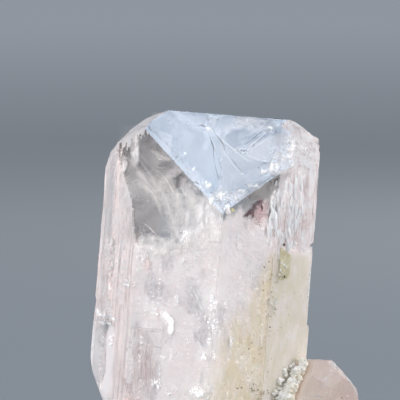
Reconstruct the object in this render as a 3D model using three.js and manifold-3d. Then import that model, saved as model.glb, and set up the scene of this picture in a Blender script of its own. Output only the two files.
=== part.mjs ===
// A pink-tinged danburite crystal standing on its broken base: a stubby diamond-section prism with a
// sloping roof face, striated sides, a slab grown parallel to it low on the right, a small second
// crystal at its foot and a crust of matrix grains in the seam between the two.
//
// Millimetres. In the crystal's own axes X runs to the right, Y away from the front and Z up the prism.
// The specimen leans to the right, so the whole group is turned about Y and cut flat at the floor.

import * as THREE from "three";
import { mergeVertices } from "three/addons/utils/BufferGeometryUtils.js";
import Module from "manifold-3d";

// Driving dimensions
const LEAN = THREE.MathUtils.degToRad(4.6); // the prism's lean to the right
const RIDGE_HEIGHT = 44.15; // from the broken base up the prism to the roof ridge
const ROOF_SLOPE = THREE.MathUtils.degToRad(43.9); // the dome face (101) of danburite
const BODY_LEFT = -14.4; // left prism edge
const BODY_RIGHT = 13.6; // right prism edge, behind the ribs
const FRONT_EDGE = [1.85, -13.7]; // left end of the narrow front edge face, in plan
const FRONT_EDGE_RIGHT = [4.15, -11.7];
const LEFT_FACE_RISE = 0.93; // plan slope of the front left prism face
const RIGHT_FACE_RISE = 0.79; // plan slope of the front right prism face
const BACK_DEPTH = 12.3; // how far the back edge face lies behind the ridge
const NOTCH_TOP = 26.5; // the right ribs end here, over the slab's top
const SLAB_TOP = 26.2;
const SLAB_STEP = 15.6; // height of the small step on the slab's right side
const SLAB_RIGHT = 14.95;
const SLAB_PROUD = 0.7; // how far the slab's right side stands out of the front right face
const SLAB_SEAM = 0.12; // and its left side, in the seam
const SEAM_GAP = 0.32; // clearance between neighbouring pieces
const BURIED = 1.2; // how deep a rib's root lies inside the body
const REACH = 90; // size of the blocks that cut the faces

const wasm = await Module();
wasm.setup();

// Solids and faces

function solidFrom(geometry) {
  const bare = geometry.index ? geometry.toNonIndexed() : geometry.clone();
  for (const name of Object.keys(bare.attributes)) {
    if (name !== "position") bare.deleteAttribute(name);
  }
  const merged = mergeVertices(bare, 1e-4);
  return new wasm.Manifold(
    new wasm.Mesh({
      numProp: 3,
      vertProperties: new Float32Array(merged.attributes.position.array),
      triVerts: new Uint32Array(merged.index.array),
    }),
  );
}

function geometryFrom(solid) {
  const mesh = solid.getMesh();
  const positions = new Float32Array(mesh.numVert * 3);
  for (let i = 0; i < mesh.numVert; i++) {
    positions.set(mesh.vertProperties.subarray(i * mesh.numProp, i * mesh.numProp + 3), i * 3);
  }
  const geometry = new THREE.BufferGeometry()
    .setAttribute("position", new THREE.BufferAttribute(positions, 3))
    .setIndex(new THREE.BufferAttribute(mesh.triVerts, 1))
    .toNonIndexed();
  geometry.computeVertexNormals();
  return geometry;
}

// The same small random numbers at every run
function makeRandom(seed) {
  let state = seed;
  return (low = 0, high = 1) => {
    state = (state * 16807) % 2147483647;
    return low + ((high - low) * state) / 2147483647;
  };
}

const vector = (p) => new THREE.Vector3(...p);

// Takes off everything beyond a plane through a point
function cutFace(solid, through, outward) {
  const block = new THREE.BoxGeometry(REACH, REACH, REACH);
  block.translate(0, 0, REACH / 2);
  const turn = new THREE.Quaternion().setFromUnitVectors(
    new THREE.Vector3(0, 0, 1),
    vector(outward).normalize(),
  );
  block.applyQuaternion(turn);
  block.translate(...through);
  return solid.subtract(solidFrom(block));
}

// A column with the given plan outline, from one height to another
function column(outline, bottom, top) {
  const shape = new THREE.Shape(outline.map(([x, y]) => new THREE.Vector2(x, y)));
  const geometry = new THREE.ExtrudeGeometry(shape, { depth: top - bottom, bevelEnabled: false });
  geometry.translate(0, 0, bottom);
  return solidFrom(geometry);
}

// A plane that falls to one side of the ridge, and a little to the front or the back
function shoulderNormal(side, slopeDegrees, turnDegrees) {
  const slope = THREE.MathUtils.degToRad(slopeDegrees);
  const turn = THREE.MathUtils.degToRad(turnDegrees);
  return [
    side * Math.sin(slope) * Math.cos(turn),
    -Math.sin(turn),
    Math.cos(slope) * Math.cos(turn),
  ];
}

const leftFaceY = (x) => FRONT_EDGE[1] + (FRONT_EDGE[0] - x) * LEFT_FACE_RISE;
const rightFaceY = (x) => FRONT_EDGE_RIGHT[1] + (x - FRONT_EDGE_RIGHT[0]) * RIGHT_FACE_RISE;
const outwardFromSlope = (rise, side, back) => {
  const length = Math.hypot(rise, 1);
  return [(side * rise) / length, back / length];
};

// The prism faces, each with a point on it, its outward direction and its run in plan
const leftFace = {
  point: (x) => [x, leftFaceY(x)],
  outward: outwardFromSlope(LEFT_FACE_RISE, -1, -1),
};
const rightFace = {
  point: (x) => [x, rightFaceY(x)],
  outward: outwardFromSlope(RIGHT_FACE_RISE, 1, -1),
};
const BACK_LEFT_CORNER = [BODY_LEFT, 1.5];
const BACK_RIGHT_CORNER = [BODY_RIGHT, 0.6];
const backLeftFace = {
  point: (x) => [x, BACK_LEFT_CORNER[1] + (x - BACK_LEFT_CORNER[0]) * RIGHT_FACE_RISE],
  outward: outwardFromSlope(RIGHT_FACE_RISE, -1, 1),
};
const backRightFace = {
  point: (x) => [x, BACK_RIGHT_CORNER[1] + (BACK_RIGHT_CORNER[0] - x) * LEFT_FACE_RISE],
  outward: outwardFromSlope(LEFT_FACE_RISE, 1, 1),
};
const leftEdge = { point: (y) => [BODY_LEFT, y], outward: [-1, 0] };
const rightEdge = { point: (y) => [BODY_RIGHT, y], outward: [1, 0] };

// A growth rib: a slim sub-crystal that stands a little proud of a prism face and tapers at both ends
function rib(face, at, width, proud, bottom, top, endSlope = 68) {
  const [px, py] = face.point(at);
  const [nx, ny] = face.outward;
  const outline = [
    [-width / 2, -BURIED],
    [width / 2, -BURIED],
    [width / 2, proud * 0.2],
    [width * 0.16, proud],
    [-width * 0.3, proud * 0.8],
    [-width / 2, proud * 0.1],
  ].map(([along, out]) => [px - ny * along + nx * out, py + nx * along + ny * out]);
  const slope = THREE.MathUtils.degToRad(endSlope);
  const out = [nx * Math.sin(slope), ny * Math.sin(slope)];
  const bar = column(outline, bottom - 3, top + 3);
  const topped = cutFace(bar, [px, py, top], [...out, Math.cos(slope)]);
  return cutFace(topped, [px, py, bottom], [...out, -Math.cos(slope)]);
}

// The body

function prismBody() {
  const backRightEnd = BACK_RIGHT_CORNER[0] - (BACK_DEPTH - BACK_RIGHT_CORNER[1]) / LEFT_FACE_RISE;
  const backLeftEnd = BACK_LEFT_CORNER[0] + (BACK_DEPTH - BACK_LEFT_CORNER[1]) / RIGHT_FACE_RISE;
  const outline = [
    FRONT_EDGE,
    FRONT_EDGE_RIGHT,
    rightFace.point(BODY_RIGHT),
    BACK_RIGHT_CORNER,
    [backRightEnd, BACK_DEPTH],
    [backLeftEnd, BACK_DEPTH],
    BACK_LEFT_CORNER,
    leftFace.point(BODY_LEFT),
  ];
  return column(outline, -5, RIDGE_HEIGHT + 5);
}

// Ribs up the left of the front: their tops step down towards the middle of the face
function leftRibs() {
  const random = makeRandom(41);
  const ribs = [];
  const count = 12;
  for (let i = 0; i < count; i++) {
    const share = i / (count - 1);
    const x = -14.1 + share * 4.9;
    const top = 37.8 - share * 11.4 + random(-1.3, 1.3);
    const bottom = i % 3 === 1 ? random(14.8, 16.2) : -5;
    ribs.push(rib(leftFace, x, random(0.7, 1.15), random(0.2, 0.42), bottom, top));
  }
  for (const [y, top] of [[-0.1, 37.2], [0.7, 38.2], [1.5, 37.6], [2.2, 35.4]]) {
    ribs.push(rib(leftEdge, y, 1.0, 0.48, y > 1 ? -5 : 16.2, top));
    ribs.push(rib(leftEdge, y, 1.0, 0.36, -5, 15.9));
  }
  return ribs;
}

// Ribs on the upper right: they end over the slab, in the notch
function rightRibs() {
  const random = makeRandom(77);
  const ribs = [];
  const count = 13;
  for (let i = 0; i < count; i++) {
    const share = i / (count - 1);
    const x = 6.2 + share * 7.8;
    const top = 29.8 + share * 9.6 + random(-1.0, 1.0);
    const bottom = x > 10.4 ? NOTCH_TOP + random(-0.3, 0.5) : random(19, 23) + share * 6;
    ribs.push(rib(rightFace, x, random(0.8, 1.3), random(0.22, 0.5), bottom, top));
  }
  for (const [y, proud] of [[-4.2, 0.8], [-3.3, 1.05], [-2.4, 1.25], [-1.5, 1.4], [-0.6, 1.3], [0.3, 1.05]]) {
    ribs.push(rib(rightEdge, y, 1.25, proud, NOTCH_TOP + random(-0.2, 0.3), 44, 24));
  }
  return ribs;
}

function backRibs() {
  const random = makeRandom(113);
  const ribs = [];
  const rows = [
    { face: backLeftFace, from: -13.6, step: 0.92, low: [9, 20], high: [23, 36] },
    { face: backRightFace, from: 13.2, step: -1.02, low: [8, 18], high: [22, 37] },
  ];
  for (const { face, from, step, low, high } of rows) {
    for (let i = 0; i < 12; i++) {
      const bottom = i % 4 === 2 ? random(...low) : -5;
      const width = random(0.8, 1.5);
      ribs.push(rib(face, from + i * step, width, random(0.15, 0.45), bottom, random(...high)));
    }
  }
  return ribs;
}

// The slab grown parallel to the body, low on its right: two stacked steps
const slabOutline = (right, proud) => {
  const [nx, ny] = rightFace.outward;
  const inner = rightFace.point(9.4);
  const frontY = rightFaceY(right) - proud * Math.hypot(RIGHT_FACE_RISE, 1);
  return [
    [inner[0] + nx * SLAB_SEAM, inner[1] + ny * SLAB_SEAM],
    [right, frontY],
    [right, 1.9],
    [9, 4.2],
    [6.5, -4],
  ];
};

function slab() {
  const upper = cutFace(
    column(slabOutline(SLAB_RIGHT, SLAB_PROUD), 3, SLAB_TOP + 2),
    [12, -5, SLAB_TOP],
    [0.05, -0.09, 1],
  );
  const lower = column(slabOutline(SLAB_RIGHT + 0.3, SLAB_PROUD + 0.1), -5, SLAB_STEP);
  return upper.add(cutFace(lower, [12, -6, SLAB_STEP], [0.05, -0.25, 1]));
}

// The roof: two dome faces that meet in the ridge
function cutRoof(solid) {
  const ridge = [0, 0, RIDGE_HEIGHT];
  const up = Math.cos(ROOF_SLOPE);
  const out = Math.sin(ROOF_SLOPE);
  return cutFace(cutFace(solid, ridge, [0, -out, up]), ridge, [0, out, up]);
}

// The rounded left shoulder: narrow faces, each steeper than the last, at the front and the back
function cutLeftShoulder(solid) {
  const steps = [
    { at: [-6.8, 0.2, RIDGE_HEIGHT], slope: 29, turn: 12 },
    { at: [-10.2, 0.5, 42.2], slope: 42, turn: 15 },
    { at: [-11.9, 0.8, 40.7], slope: 50, turn: 16 },
    { at: [-13.3, 1.0, 39.2], slope: 60, turn: 15 },
    { at: [-14.3, 1.2, 37.4], slope: 74, turn: 12 },
  ];
  let cut = solid;
  for (const { at, slope, turn } of steps) {
    cut = cutFace(cut, at, shoulderNormal(-1, slope, turn));
    cut = cutFace(cut, [at[0], at[1] + 0.8, at[2]], shoulderNormal(-1, slope - 3, -turn));
  }
  return cut;
}

// The right shoulder: one pyramid face at the front, then faces that follow the skyline
function cutRightShoulder(solid) {
  const ridgeEnd = [10.35, 0, RIDGE_HEIGHT];
  const pyramidFace = [0.42, -0.6, 0.68];
  const steps = [
    { at: [12.4, -1, 43.25], normal: shoulderNormal(1, 28, 4) },
    { at: [14.6, -1, 41.9], normal: shoulderNormal(1, 68, 6) },
    { at: [11.6, 1.2, 43.2], normal: shoulderNormal(1, 30, -22) },
  ];
  let cut = cutFace(solid, ridgeEnd, pyramidFace);
  for (const { at, normal } of steps) cut = cutFace(cut, at, normal);
  return cut;
}

// Small bites broken out of edges and of the rough upper right corner
function chipEdges(solid) {
  const bites = [
    { at: [13.6, -5.2, 41.6], size: 1.5 },
    { at: [12.4, -6.2, 38.2], size: 0.9 },
    { at: [15.3, -3.0, 35.6], size: 0.8 },
    { at: [15.9, -1.4, 32.6], size: 0.9 },
    { at: [15.6, -2.8, 29.4], size: 0.7 },
    { at: [2.9, -13.3, 31.6], size: 0.8 },
    { at: [1.7, -14.0, 24.2], size: 0.5 },
    { at: [-15.3, 0.4, 22.4], size: 0.6 },
    { at: [-15.4, 0.6, 12.6], size: 0.9 },
    { at: [15.7, -4.4, 21.6], size: 0.6 },
    { at: [15.8, -4.7, 13.4], size: 0.7 },
    { at: [-1.6, 12.9, 20.5], size: 1.2 },
    { at: [-8.5, 8.6, 38.4], size: 1.6 },
    { at: [8.6, 6.4, 41.2], size: 1.3 },
  ];
  const random = makeRandom(9);
  let cut = solid;
  for (const { at, size } of bites) {
    const bite = new THREE.DodecahedronGeometry(size, 0);
    bite.rotateX(random(0, Math.PI));
    bite.rotateZ(random(0, Math.PI));
    bite.translate(...at);
    cut = cut.subtract(solidFrom(bite));
  }
  return cut;
}

// The broken base: sloping breaks round the foot of the prism
function breakBase(solid) {
  const breaks = [
    { at: [-14.75, 0, 8.6], normal: [-0.97, -0.06, -0.22] },
    { at: [-14.2, 0, 6.4], normal: [-0.92, -0.06, -0.4] },
    { at: [-13.4, -1, 4.6], normal: [-0.83, -0.2, -0.52] },
    { at: [-13.2, -1, 3.6], normal: [-0.72, -0.28, -0.63] },
    { at: [-7.5, -6.2, 1.9], normal: [-0.4, -0.62, -0.67] },
    { at: [3, -13.0, 3.1], normal: [0.12, -0.83, -0.54] },
    { at: [4, -10.6, 1.0], normal: [0.05, -0.6, -0.8] },
    { at: [-2, 12.3, 6.4], normal: [-0.1, 0.9, -0.42] },
    { at: [-9.5, 6.4, 4.2], normal: [-0.6, 0.6, -0.52] },
    { at: [8.4, 6.2, 3.4], normal: [0.5, 0.66, -0.56] },
    { at: [14.8, 1.6, 7.5], normal: [0.8, 0.5, -0.34] },
  ];
  return breaks.reduce((cut, { at, normal }) => cutFace(cut, at, normal), solid);
}

const cutAtFloor = (solid) => cutFace(solid, [0, 0, 0], [Math.sin(LEAN), 0, -Math.cos(LEAN)]);

function mainCrystal() {
  let crystal = prismBody();
  for (const piece of [...leftRibs(), ...rightRibs(), ...backRibs()]) crystal = crystal.add(piece);
  crystal = cutRightShoulder(cutLeftShoulder(cutRoof(crystal)));
  crystal = chipEdges(crystal.add(slab()));
  return cutAtFloor(breakBase(crystal));
}

// The small crystal at the foot: a block bounded by flat faces, worn rounder towards the right
function sideCrystal(main) {
  const faces = [
    { at: [17.2, -4, 11.2], normal: [-0.04, 0.05, 1] },
    { at: [19.4, -4, 10.7], normal: [0.58, -0.12, 0.8] },
    { at: [21.0, -4, 9.3], normal: [0.7, 0.06, 0.7] },
    { at: [22.3, -4, 7.9], normal: [0.85, -0.05, 0.5] },
    { at: [22.95, -4, 6.2], normal: [0.98, 0.02, 0.14] },
    { at: [22.6, -4, 3.0], normal: [0.93, -0.1, -0.36] },
    { at: [18.5, -7.6, 9.6], normal: [0.12, -0.74, 0.66] },
    { at: [18.0, -9.2, 5.5], normal: [-0.22, -0.96, 0.12] },
    { at: [20.6, -8.0, 5.0], normal: [0.62, -0.78, 0.06] },
    { at: [18.0, -8.9, 2.4], normal: [-0.05, -0.86, -0.5] },
    { at: [13.4, -6, 5.1], normal: [-0.86, -0.3, 0.38] },
    { at: [20.3, 0.9, 6.0], normal: [0.55, 0.83, 0.05] },
    { at: [17.0, 2.2, 7.5], normal: [-0.1, 0.9, 0.42] },
  ];
  const block = new THREE.BoxGeometry(16, 16, 16);
  block.translate(19.5, -4, 4);
  let crystal = faces.reduce((cut, { at, normal }) => cutFace(cut, at, normal), solidFrom(block));
  const [nx, ny] = rightFace.outward;
  for (const [dx, dy] of [[nx, ny], [1, 0], [0, 0], [0, -1]]) {
    crystal = crystal.subtract(main.translate([dx * SEAM_GAP, dy * SEAM_GAP, 0]));
  }
  return largest(cutAtFloor(crystal));
}

const largest = (solid) =>
  solid.decompose().reduce((best, part) => (part.volume() > best.volume() ? part : best));

// Grains of matrix in the seam, down the front of it, clear of both crystals
function matrixCrust(main, side) {
  const random = makeRandom(2024);
  const seamTop = [14.9, -5.2, 11.0];
  const seamFoot = [11.6, -7.75, 0.7];
  const count = 17;
  let crust = null;
  for (let i = 0; i < count; i++) {
    const share = i / (count - 1);
    const size = random(0.7, 1.0) * (1 + 0.6 * Math.sin(share * Math.PI * 0.8));
    const grain = new THREE.DodecahedronGeometry(size, 0);
    grain.scale(1, random(0.8, 1.1), random(0.8, 1.2));
    grain.rotateX(random(0, Math.PI));
    grain.rotateY(random(0, Math.PI));
    const [x, y, z] = seamTop.map((top, axis) => top + (seamFoot[axis] - top) * share);
    grain.translate(x + random(-0.3, 0.3), y + random(-0.25, 0.15), z + random(-0.2, 0.2));
    const solid = solidFrom(grain);
    crust = crust ? crust.add(solid) : solid;
  }
  const [nx, ny] = rightFace.outward;
  for (const [dx, dy] of [[nx, ny], [1, 0], [0, -1], [0, 0]]) {
    crust = crust.subtract(main.translate([dx * SEAM_GAP, dy * SEAM_GAP, 0]));
  }
  for (const [dx, dy] of [[-1, 0], [-0.7, -0.7], [0, -1], [0, 0]]) {
    crust = crust.subtract(side.translate([dx * SEAM_GAP, dy * SEAM_GAP, 0]));
  }
  for (const dz of [-SEAM_GAP, SEAM_GAP]) crust = crust.subtract(side.translate([0, 0, dz]));
  return largest(cutAtFloor(crust));
}

// The specimen

const milkyPink = new THREE.MeshStandardMaterial({
  color: 0xe6dedf,
  roughness: 0.18,
  metalness: 0,
  transparent: true,
  opacity: 0.85,
});
const paleRose = new THREE.MeshStandardMaterial({
  color: 0xd6c0ba,
  roughness: 0.3,
  metalness: 0,
  transparent: true,
  opacity: 0.9,
});
const ochreWhite = new THREE.MeshStandardMaterial({ color: 0xd9d2bd, roughness: 0.85, metalness: 0 });

function named(name, solid, material) {
  const mesh = new THREE.Mesh(geometryFrom(solid), material);
  mesh.name = name;
  return mesh;
}

const main = mainCrystal();
const side = sideCrystal(main);
const crust = matrixCrust(main, side);

const leaning = new THREE.Group();
leaning.rotation.y = LEAN;
leaning.add(
  named("main_crystal", main, milkyPink),
  named("side_crystal", side, paleRose),
  named("matrix_crust", crust, ochreWhite),
);

// The origin is the middle of the specimen's footprint box, on the floor
const specimen = new THREE.Group();
specimen.add(leaning);
specimen.updateMatrixWorld(true);
const box = new THREE.Box3().setFromObject(specimen, true);
leaning.position.set(-(box.min.x + box.max.x) / 2, -(box.min.y + box.max.y) / 2, -box.min.z);

export default specimen;
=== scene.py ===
import math

import bmesh
import bpy
import numpy as np
from mathutils import Matrix, Vector
from mathutils.bvhtree import BVHTree
from mathutils.noise import noise as smooth_noise

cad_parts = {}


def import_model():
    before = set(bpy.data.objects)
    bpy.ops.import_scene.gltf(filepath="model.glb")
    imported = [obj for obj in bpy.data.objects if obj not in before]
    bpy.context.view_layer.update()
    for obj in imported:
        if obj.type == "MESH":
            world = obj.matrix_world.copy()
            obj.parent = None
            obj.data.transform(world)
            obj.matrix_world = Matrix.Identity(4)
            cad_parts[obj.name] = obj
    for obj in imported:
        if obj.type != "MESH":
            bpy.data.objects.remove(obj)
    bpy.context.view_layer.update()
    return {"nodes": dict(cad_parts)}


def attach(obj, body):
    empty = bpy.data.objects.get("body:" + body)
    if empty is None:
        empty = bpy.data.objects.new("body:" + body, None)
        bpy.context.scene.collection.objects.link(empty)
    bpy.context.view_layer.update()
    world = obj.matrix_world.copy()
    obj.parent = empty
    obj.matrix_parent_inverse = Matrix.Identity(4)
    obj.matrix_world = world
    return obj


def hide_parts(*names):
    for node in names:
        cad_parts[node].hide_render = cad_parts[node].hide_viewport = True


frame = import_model()
MM = 0.001

# The crystal's own axes: x across the front, y into the picture, z up the prism, in millimetres
LEAN = math.radians(4.6)
CRYSTAL_FOOT = Vector((-4.6735, 0.7, 0.0))
RIDGE_HEIGHT = 44.15
ROOF_SLOPE = math.radians(43.9)
FRONT_EDGE = Vector((1.85, -13.7, 0.0))
FRONT_EDGE_RIGHT = Vector((4.15, -11.7, 0.0))
LEFT_FACE_RISE = 0.93
RIGHT_FACE_RISE = 0.79
BACK_LEFT_CORNER = Vector((-14.4, 1.5, 0.0))
BACK_RIGHT_CORNER = Vector((13.6, 0.6, 0.0))
WINDOW_FLOOR = 25.7
REFRACTION = 1.633

lean_turn = Matrix.Rotation(LEAN, 3, "Y")


def world(point):
    """A point in crystal millimetres as a place in metres."""
    return (lean_turn @ Vector(point) + CRYSTAL_FOOT) * MM


def crystal(place):
    """A place in metres as a point in crystal millimetres."""
    return lean_turn.transposed() @ (Vector(place) / MM - CRYSTAL_FOOT)


def rows_of(items, what):
    """A vector of every vertex or face, one row each."""
    values = np.zeros(len(items) * 3)
    items.foreach_get(what, values)
    return values.reshape(-1, 3)


def crystal_rows(places):
    return (places / MM - np.array(CRYSTAL_FOOT)) @ np.array(lean_turn)


# The camera: the photograph's angle, with a long lens
PIXEL = 0.14
VIEW_RISE = math.radians(3)
CAMERA_DISTANCE = 1000.0
FRAME_WIDTH = 400 * PIXEL
AIM = Vector((-3.42, 0.0, 32.0))


def add_camera():
    data = bpy.data.cameras.new("camera")
    data.sensor_width = 36
    data.lens = data.sensor_width * CAMERA_DISTANCE / FRAME_WIDTH
    data.clip_start = 0.01
    data.clip_end = 50
    camera = bpy.data.objects.new("camera", data)
    bpy.context.scene.collection.objects.link(camera)
    back = Vector((0, -math.cos(VIEW_RISE), math.sin(VIEW_RISE)))
    camera.location = (AIM + back * CAMERA_DISTANCE) * MM
    camera.rotation_euler = (math.pi / 2 - VIEW_RISE, 0, 0)
    bpy.context.scene.camera = camera


add_camera()

INPUT_KINDS = {float: "NodeSocketFloat", int: "NodeSocketInt", tuple: "NodeSocketVector"}
OUTPUT_KINDS = {"VALUE": "NodeSocketFloat", "VECTOR": "NodeSocketVector", "GEOMETRY": "NodeSocketGeometry"}


class Graph:
    """A node tree with a short name for each step that its formulas are made of."""

    def __init__(self, tree):
        self.tree = tree

    def node(self, kind, inputs, **settings):
        """A new node; an input given a socket is linked to it, and a colour needs no alpha."""
        made = self.tree.nodes.new(kind)
        for name, value in settings.items():
            setattr(made, name, value)
        for key, given in inputs.items():
            socket = made.inputs[key]
            if isinstance(given, bpy.types.NodeSocket):
                self.tree.links.new(given, socket)
            else:
                socket.default_value = (*given, 1.0) if socket.type == "RGBA" else given
        return made

    def maths(self, operation, *values):
        return self.node("ShaderNodeMath", dict(enumerate(values)), operation=operation).outputs[0]

    def times(self, first, *others):
        for other in others:
            first = self.maths("MULTIPLY", first, other)
        return first

    def plus(self, first, second):
        return self.maths("ADD", first, second)

    def minus(self, first, second):
        return self.maths("SUBTRACT", first, second)

    def over(self, first, second):
        return self.maths("DIVIDE", first, second)

    def times_plus(self, value, factor, added):
        return self.maths("MULTIPLY_ADD", value, factor, added)

    def ease(self, value, low, high, to_low=0.0, to_high=1.0):
        """A smooth step from one result to the other between two values."""
        inputs = {0: value, 1: low, 2: high, 3: to_low, 4: to_high}
        return self.node("ShaderNodeMapRange", inputs, interpolation_type="SMOOTHSTEP").outputs[0]

    def fade(self, value, low, high):
        return self.ease(value, low, high, 1.0, 0.0)

    def mix(self, share, first, second):
        return self.node("ShaderNodeMix", {0: share, 6: first, 7: second}, data_type="RGBA").outputs[2]

    def layers(self, colour, *coats):
        """A colour with coats laid over it, each a mask and its own colour."""
        for share, coat in coats:
            colour = self.mix(share, colour, coat)
        return colour

    def noise(self, vector, scale, detail=4.0, roughness=0.55, warp=0.0):
        inputs = {"Vector": vector, "Scale": scale, "Detail": detail, "Roughness": roughness}
        return self.node("ShaderNodeTexNoise", {**inputs, "Distortion": warp}).outputs[0]

    def vector(self, operation, first, second):
        key = "Scale" if operation == "SCALE" else 1
        return self.node("ShaderNodeVectorMath", {0: first, key: second}, operation=operation).outputs[0]

    def join(self, x, y, z):
        return self.node("ShaderNodeCombineXYZ", {0: x, 1: y, 2: z}).outputs[0]

    def split(self, vector):
        return self.node("ShaderNodeSeparateXYZ", {0: vector}).outputs

    def bump(self, height, strength, distance):
        inputs = {"Height": height, "Strength": strength, "Distance": distance}
        return self.node("ShaderNodeBump", inputs).outputs[0]

    def near_spots(self, place, spots):
        """A mask that is 1 in the middle of each (x, z, radius) spot and 0 from its radius on."""
        parts = self.split(place)
        flat = self.join(parts[0], 0.0, parts[2])
        total = 0.0
        for x, z, radius in spots:
            away = self.node("ShaderNodeVectorMath", {0: flat, 1: (x, 0, z)}, operation="DISTANCE")
            total = self.plus(self.fade(away.outputs["Value"], 0.0, radius), total)
        return total

    def use(self, group, **inputs):
        """A group with its values, a space in their names written as an underscore."""
        named = {label.replace("_", " "): given for label, given in inputs.items()}
        return self.node("ShaderNodeGroup", named, node_tree=group).outputs

    def stored(self, name):
        return self.node("ShaderNodeAttribute", {}, attribute_name=name).outputs["Fac"]

    def object_place(self):
        return self.node("ShaderNodeTexCoord", {}).outputs["Object"]

    def crystal_place(self):
        """Object coordinates turned into crystal millimetres."""
        inputs = {"Location": CRYSTAL_FOOT * MM, "Rotation": (0, LEAN, 0), "Scale": (MM, MM, MM)}
        inputs["Vector"] = self.object_place()
        return self.node("ShaderNodeMapping", inputs, vector_type="TEXTURE").outputs[0]


def new_tree(name, kind, recipe, **inputs):
    """A node group whose recipe turns its named inputs into its named outputs."""
    tree = bpy.data.node_groups.new(name, kind)
    if kind == "GeometryNodeTree":
        tree.interface.new_socket("Geometry", in_out="INPUT", socket_type="NodeSocketGeometry")
    for label, value in inputs.items():
        socket_kind = INPUT_KINDS.get(type(value), "NodeSocketMaterial")
        socket = tree.interface.new_socket(label.replace("_", " "), in_out="INPUT", socket_type=socket_kind)
        if value is not None:
            socket.default_value = value
    graph = Graph(tree)
    results = recipe(graph, *list(graph.node("NodeGroupInput", {}).outputs)[:-1])
    for label, result in results.items():
        tree.interface.new_socket(label, in_out="OUTPUT", socket_type=OUTPUT_KINDS[result.type])
    graph.node("NodeGroupOutput", results)
    return tree


def shader_group(recipe, **inputs):
    """The recipe as a shader group, which takes a place in crystal millimetres first."""
    return new_tree(recipe.__name__, "ShaderNodeTree", recipe, Place=(0.0, 0.0, 0.0), **inputs)


def growth_striae(graph, place, lines_per_mm, length_mm):
    """Fine upright growth lines: a height, and masks for the dark and the bright ones."""
    scale = graph.join(lines_per_mm, lines_per_mm, graph.over(1.0, length_mm))
    stretched = graph.vector("MULTIPLY", place, scale)
    fine = graph.noise(stretched, 1.0, detail=5.0, roughness=0.7)
    return {
        "Height": graph.times_plus(graph.noise(stretched, 0.35, detail=2.0), 0.8, fine),
        "Streaks": graph.ease(fine, 0.5, 0.68),
        "Glints": graph.fade(fine, 0.3, 0.43),
    }


# Greyer spots where the milk is thinner: the middle's x and z, and the radius of each
CLEAR_SPOTS = ((-6.7, 20.0, 3.4), (-5.3, 22.9, 2.4), (-0.6, 17.3, 2.8), (0.2, 13.6, 2.2))


def milk_cloud(graph, place, cloud_mm, fleck_mm):
    """Soft clouds, brighter flecks and greyer clear patches inside the crystal."""
    cloud = graph.noise(place, graph.over(1.0, cloud_mm), detail=6.0, roughness=0.6, warp=0.6)
    fleck = graph.noise(place, graph.over(1.0, fleck_mm), detail=5.0, roughness=0.65, warp=1.2)
    drawn_up = graph.vector("MULTIPLY", place, (0.26, 0.26, 0.2))
    wide = graph.noise(drawn_up, 1.0, detail=5.0, roughness=0.6, warp=0.3)
    wide = graph.times_plus(graph.near_spots(place, CLEAR_SPOTS), 0.24, wide)
    broken = graph.ease(graph.noise(place, 1.6, detail=5.0, roughness=0.7), 0.35, 0.65, 0.35, 1.0)
    return {
        "Cloud": graph.ease(cloud, 0.3, 0.7),
        "Flecks": graph.ease(fleck, 0.58, 0.7),
        "Clearings": graph.times(graph.ease(wide, 0.52, 0.72), broken),
    }


STAIN_X, STAIN_TOP = 10.2, 26.2


def clay_stain(graph, place):
    """Olive clay washed down the front right face from a seam, widening towards the foot."""
    x, y, z = graph.split(place)
    drawn_up = graph.vector("MULTIPLY", place, (0.3, 0.3, 0.14))
    wander = graph.noise(drawn_up, 1.0, detail=6.0, roughness=0.65)
    blots = graph.noise(graph.vector("MULTIPLY", place, (0.9, 0.9, 0.4)), 1.0, detail=6.0, roughness=0.7)
    fall = graph.minus(STAIN_TOP, z)
    shift = graph.times(graph.times_plus(wander, 7.0, -3.5), graph.ease(fall, 0.0, 12.0))
    beside = graph.minus(x, graph.plus(graph.times_plus(fall, -0.13, STAIN_X), shift))
    to_right = graph.ease(beside, 0.0, 2.0)
    half_width = graph.times_plus(to_right, 5.0, graph.times_plus(fall, 0.27, 1.0))
    stain = graph.times(
        graph.fade(graph.over(graph.maths("ABSOLUTE", beside), half_width), 0.35, 1.5),
        graph.fade(z, STAIN_TOP - 1.2, STAIN_TOP + 0.2),
        graph.fade(y, -2.0, 1.0),
        graph.ease(blots, 0.38, 0.6, 0.3, 1.0),
        graph.times_plus(to_right, -0.2, 1.0),
    )
    dots = graph.node("ShaderNodeTexVoronoi", {"Vector": place, "Scale": 1.1, "Randomness": 1.0})
    return {"Stain": stain, "Specks": graph.times(graph.fade(dots.outputs["Distance"], 0.07, 0.16), stain)}


def glass_film(graph, place, ripples, stain):
    """How a clear face is worn: polished over the windows, satin and rippled over the milk."""
    lower = graph.fade(graph.split(place)[2], 22.0, 27.0)
    smudges = graph.ease(graph.noise(place, 0.7), 0.35, 0.8, 0.015, 0.05)
    return {
        "Roughness": graph.times_plus(stain, 0.3, graph.times_plus(lower, 0.1, smudges)),
        "Normal": graph.bump(graph.times(ripples, lower), 0.35, 0.12 * MM),
    }


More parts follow.
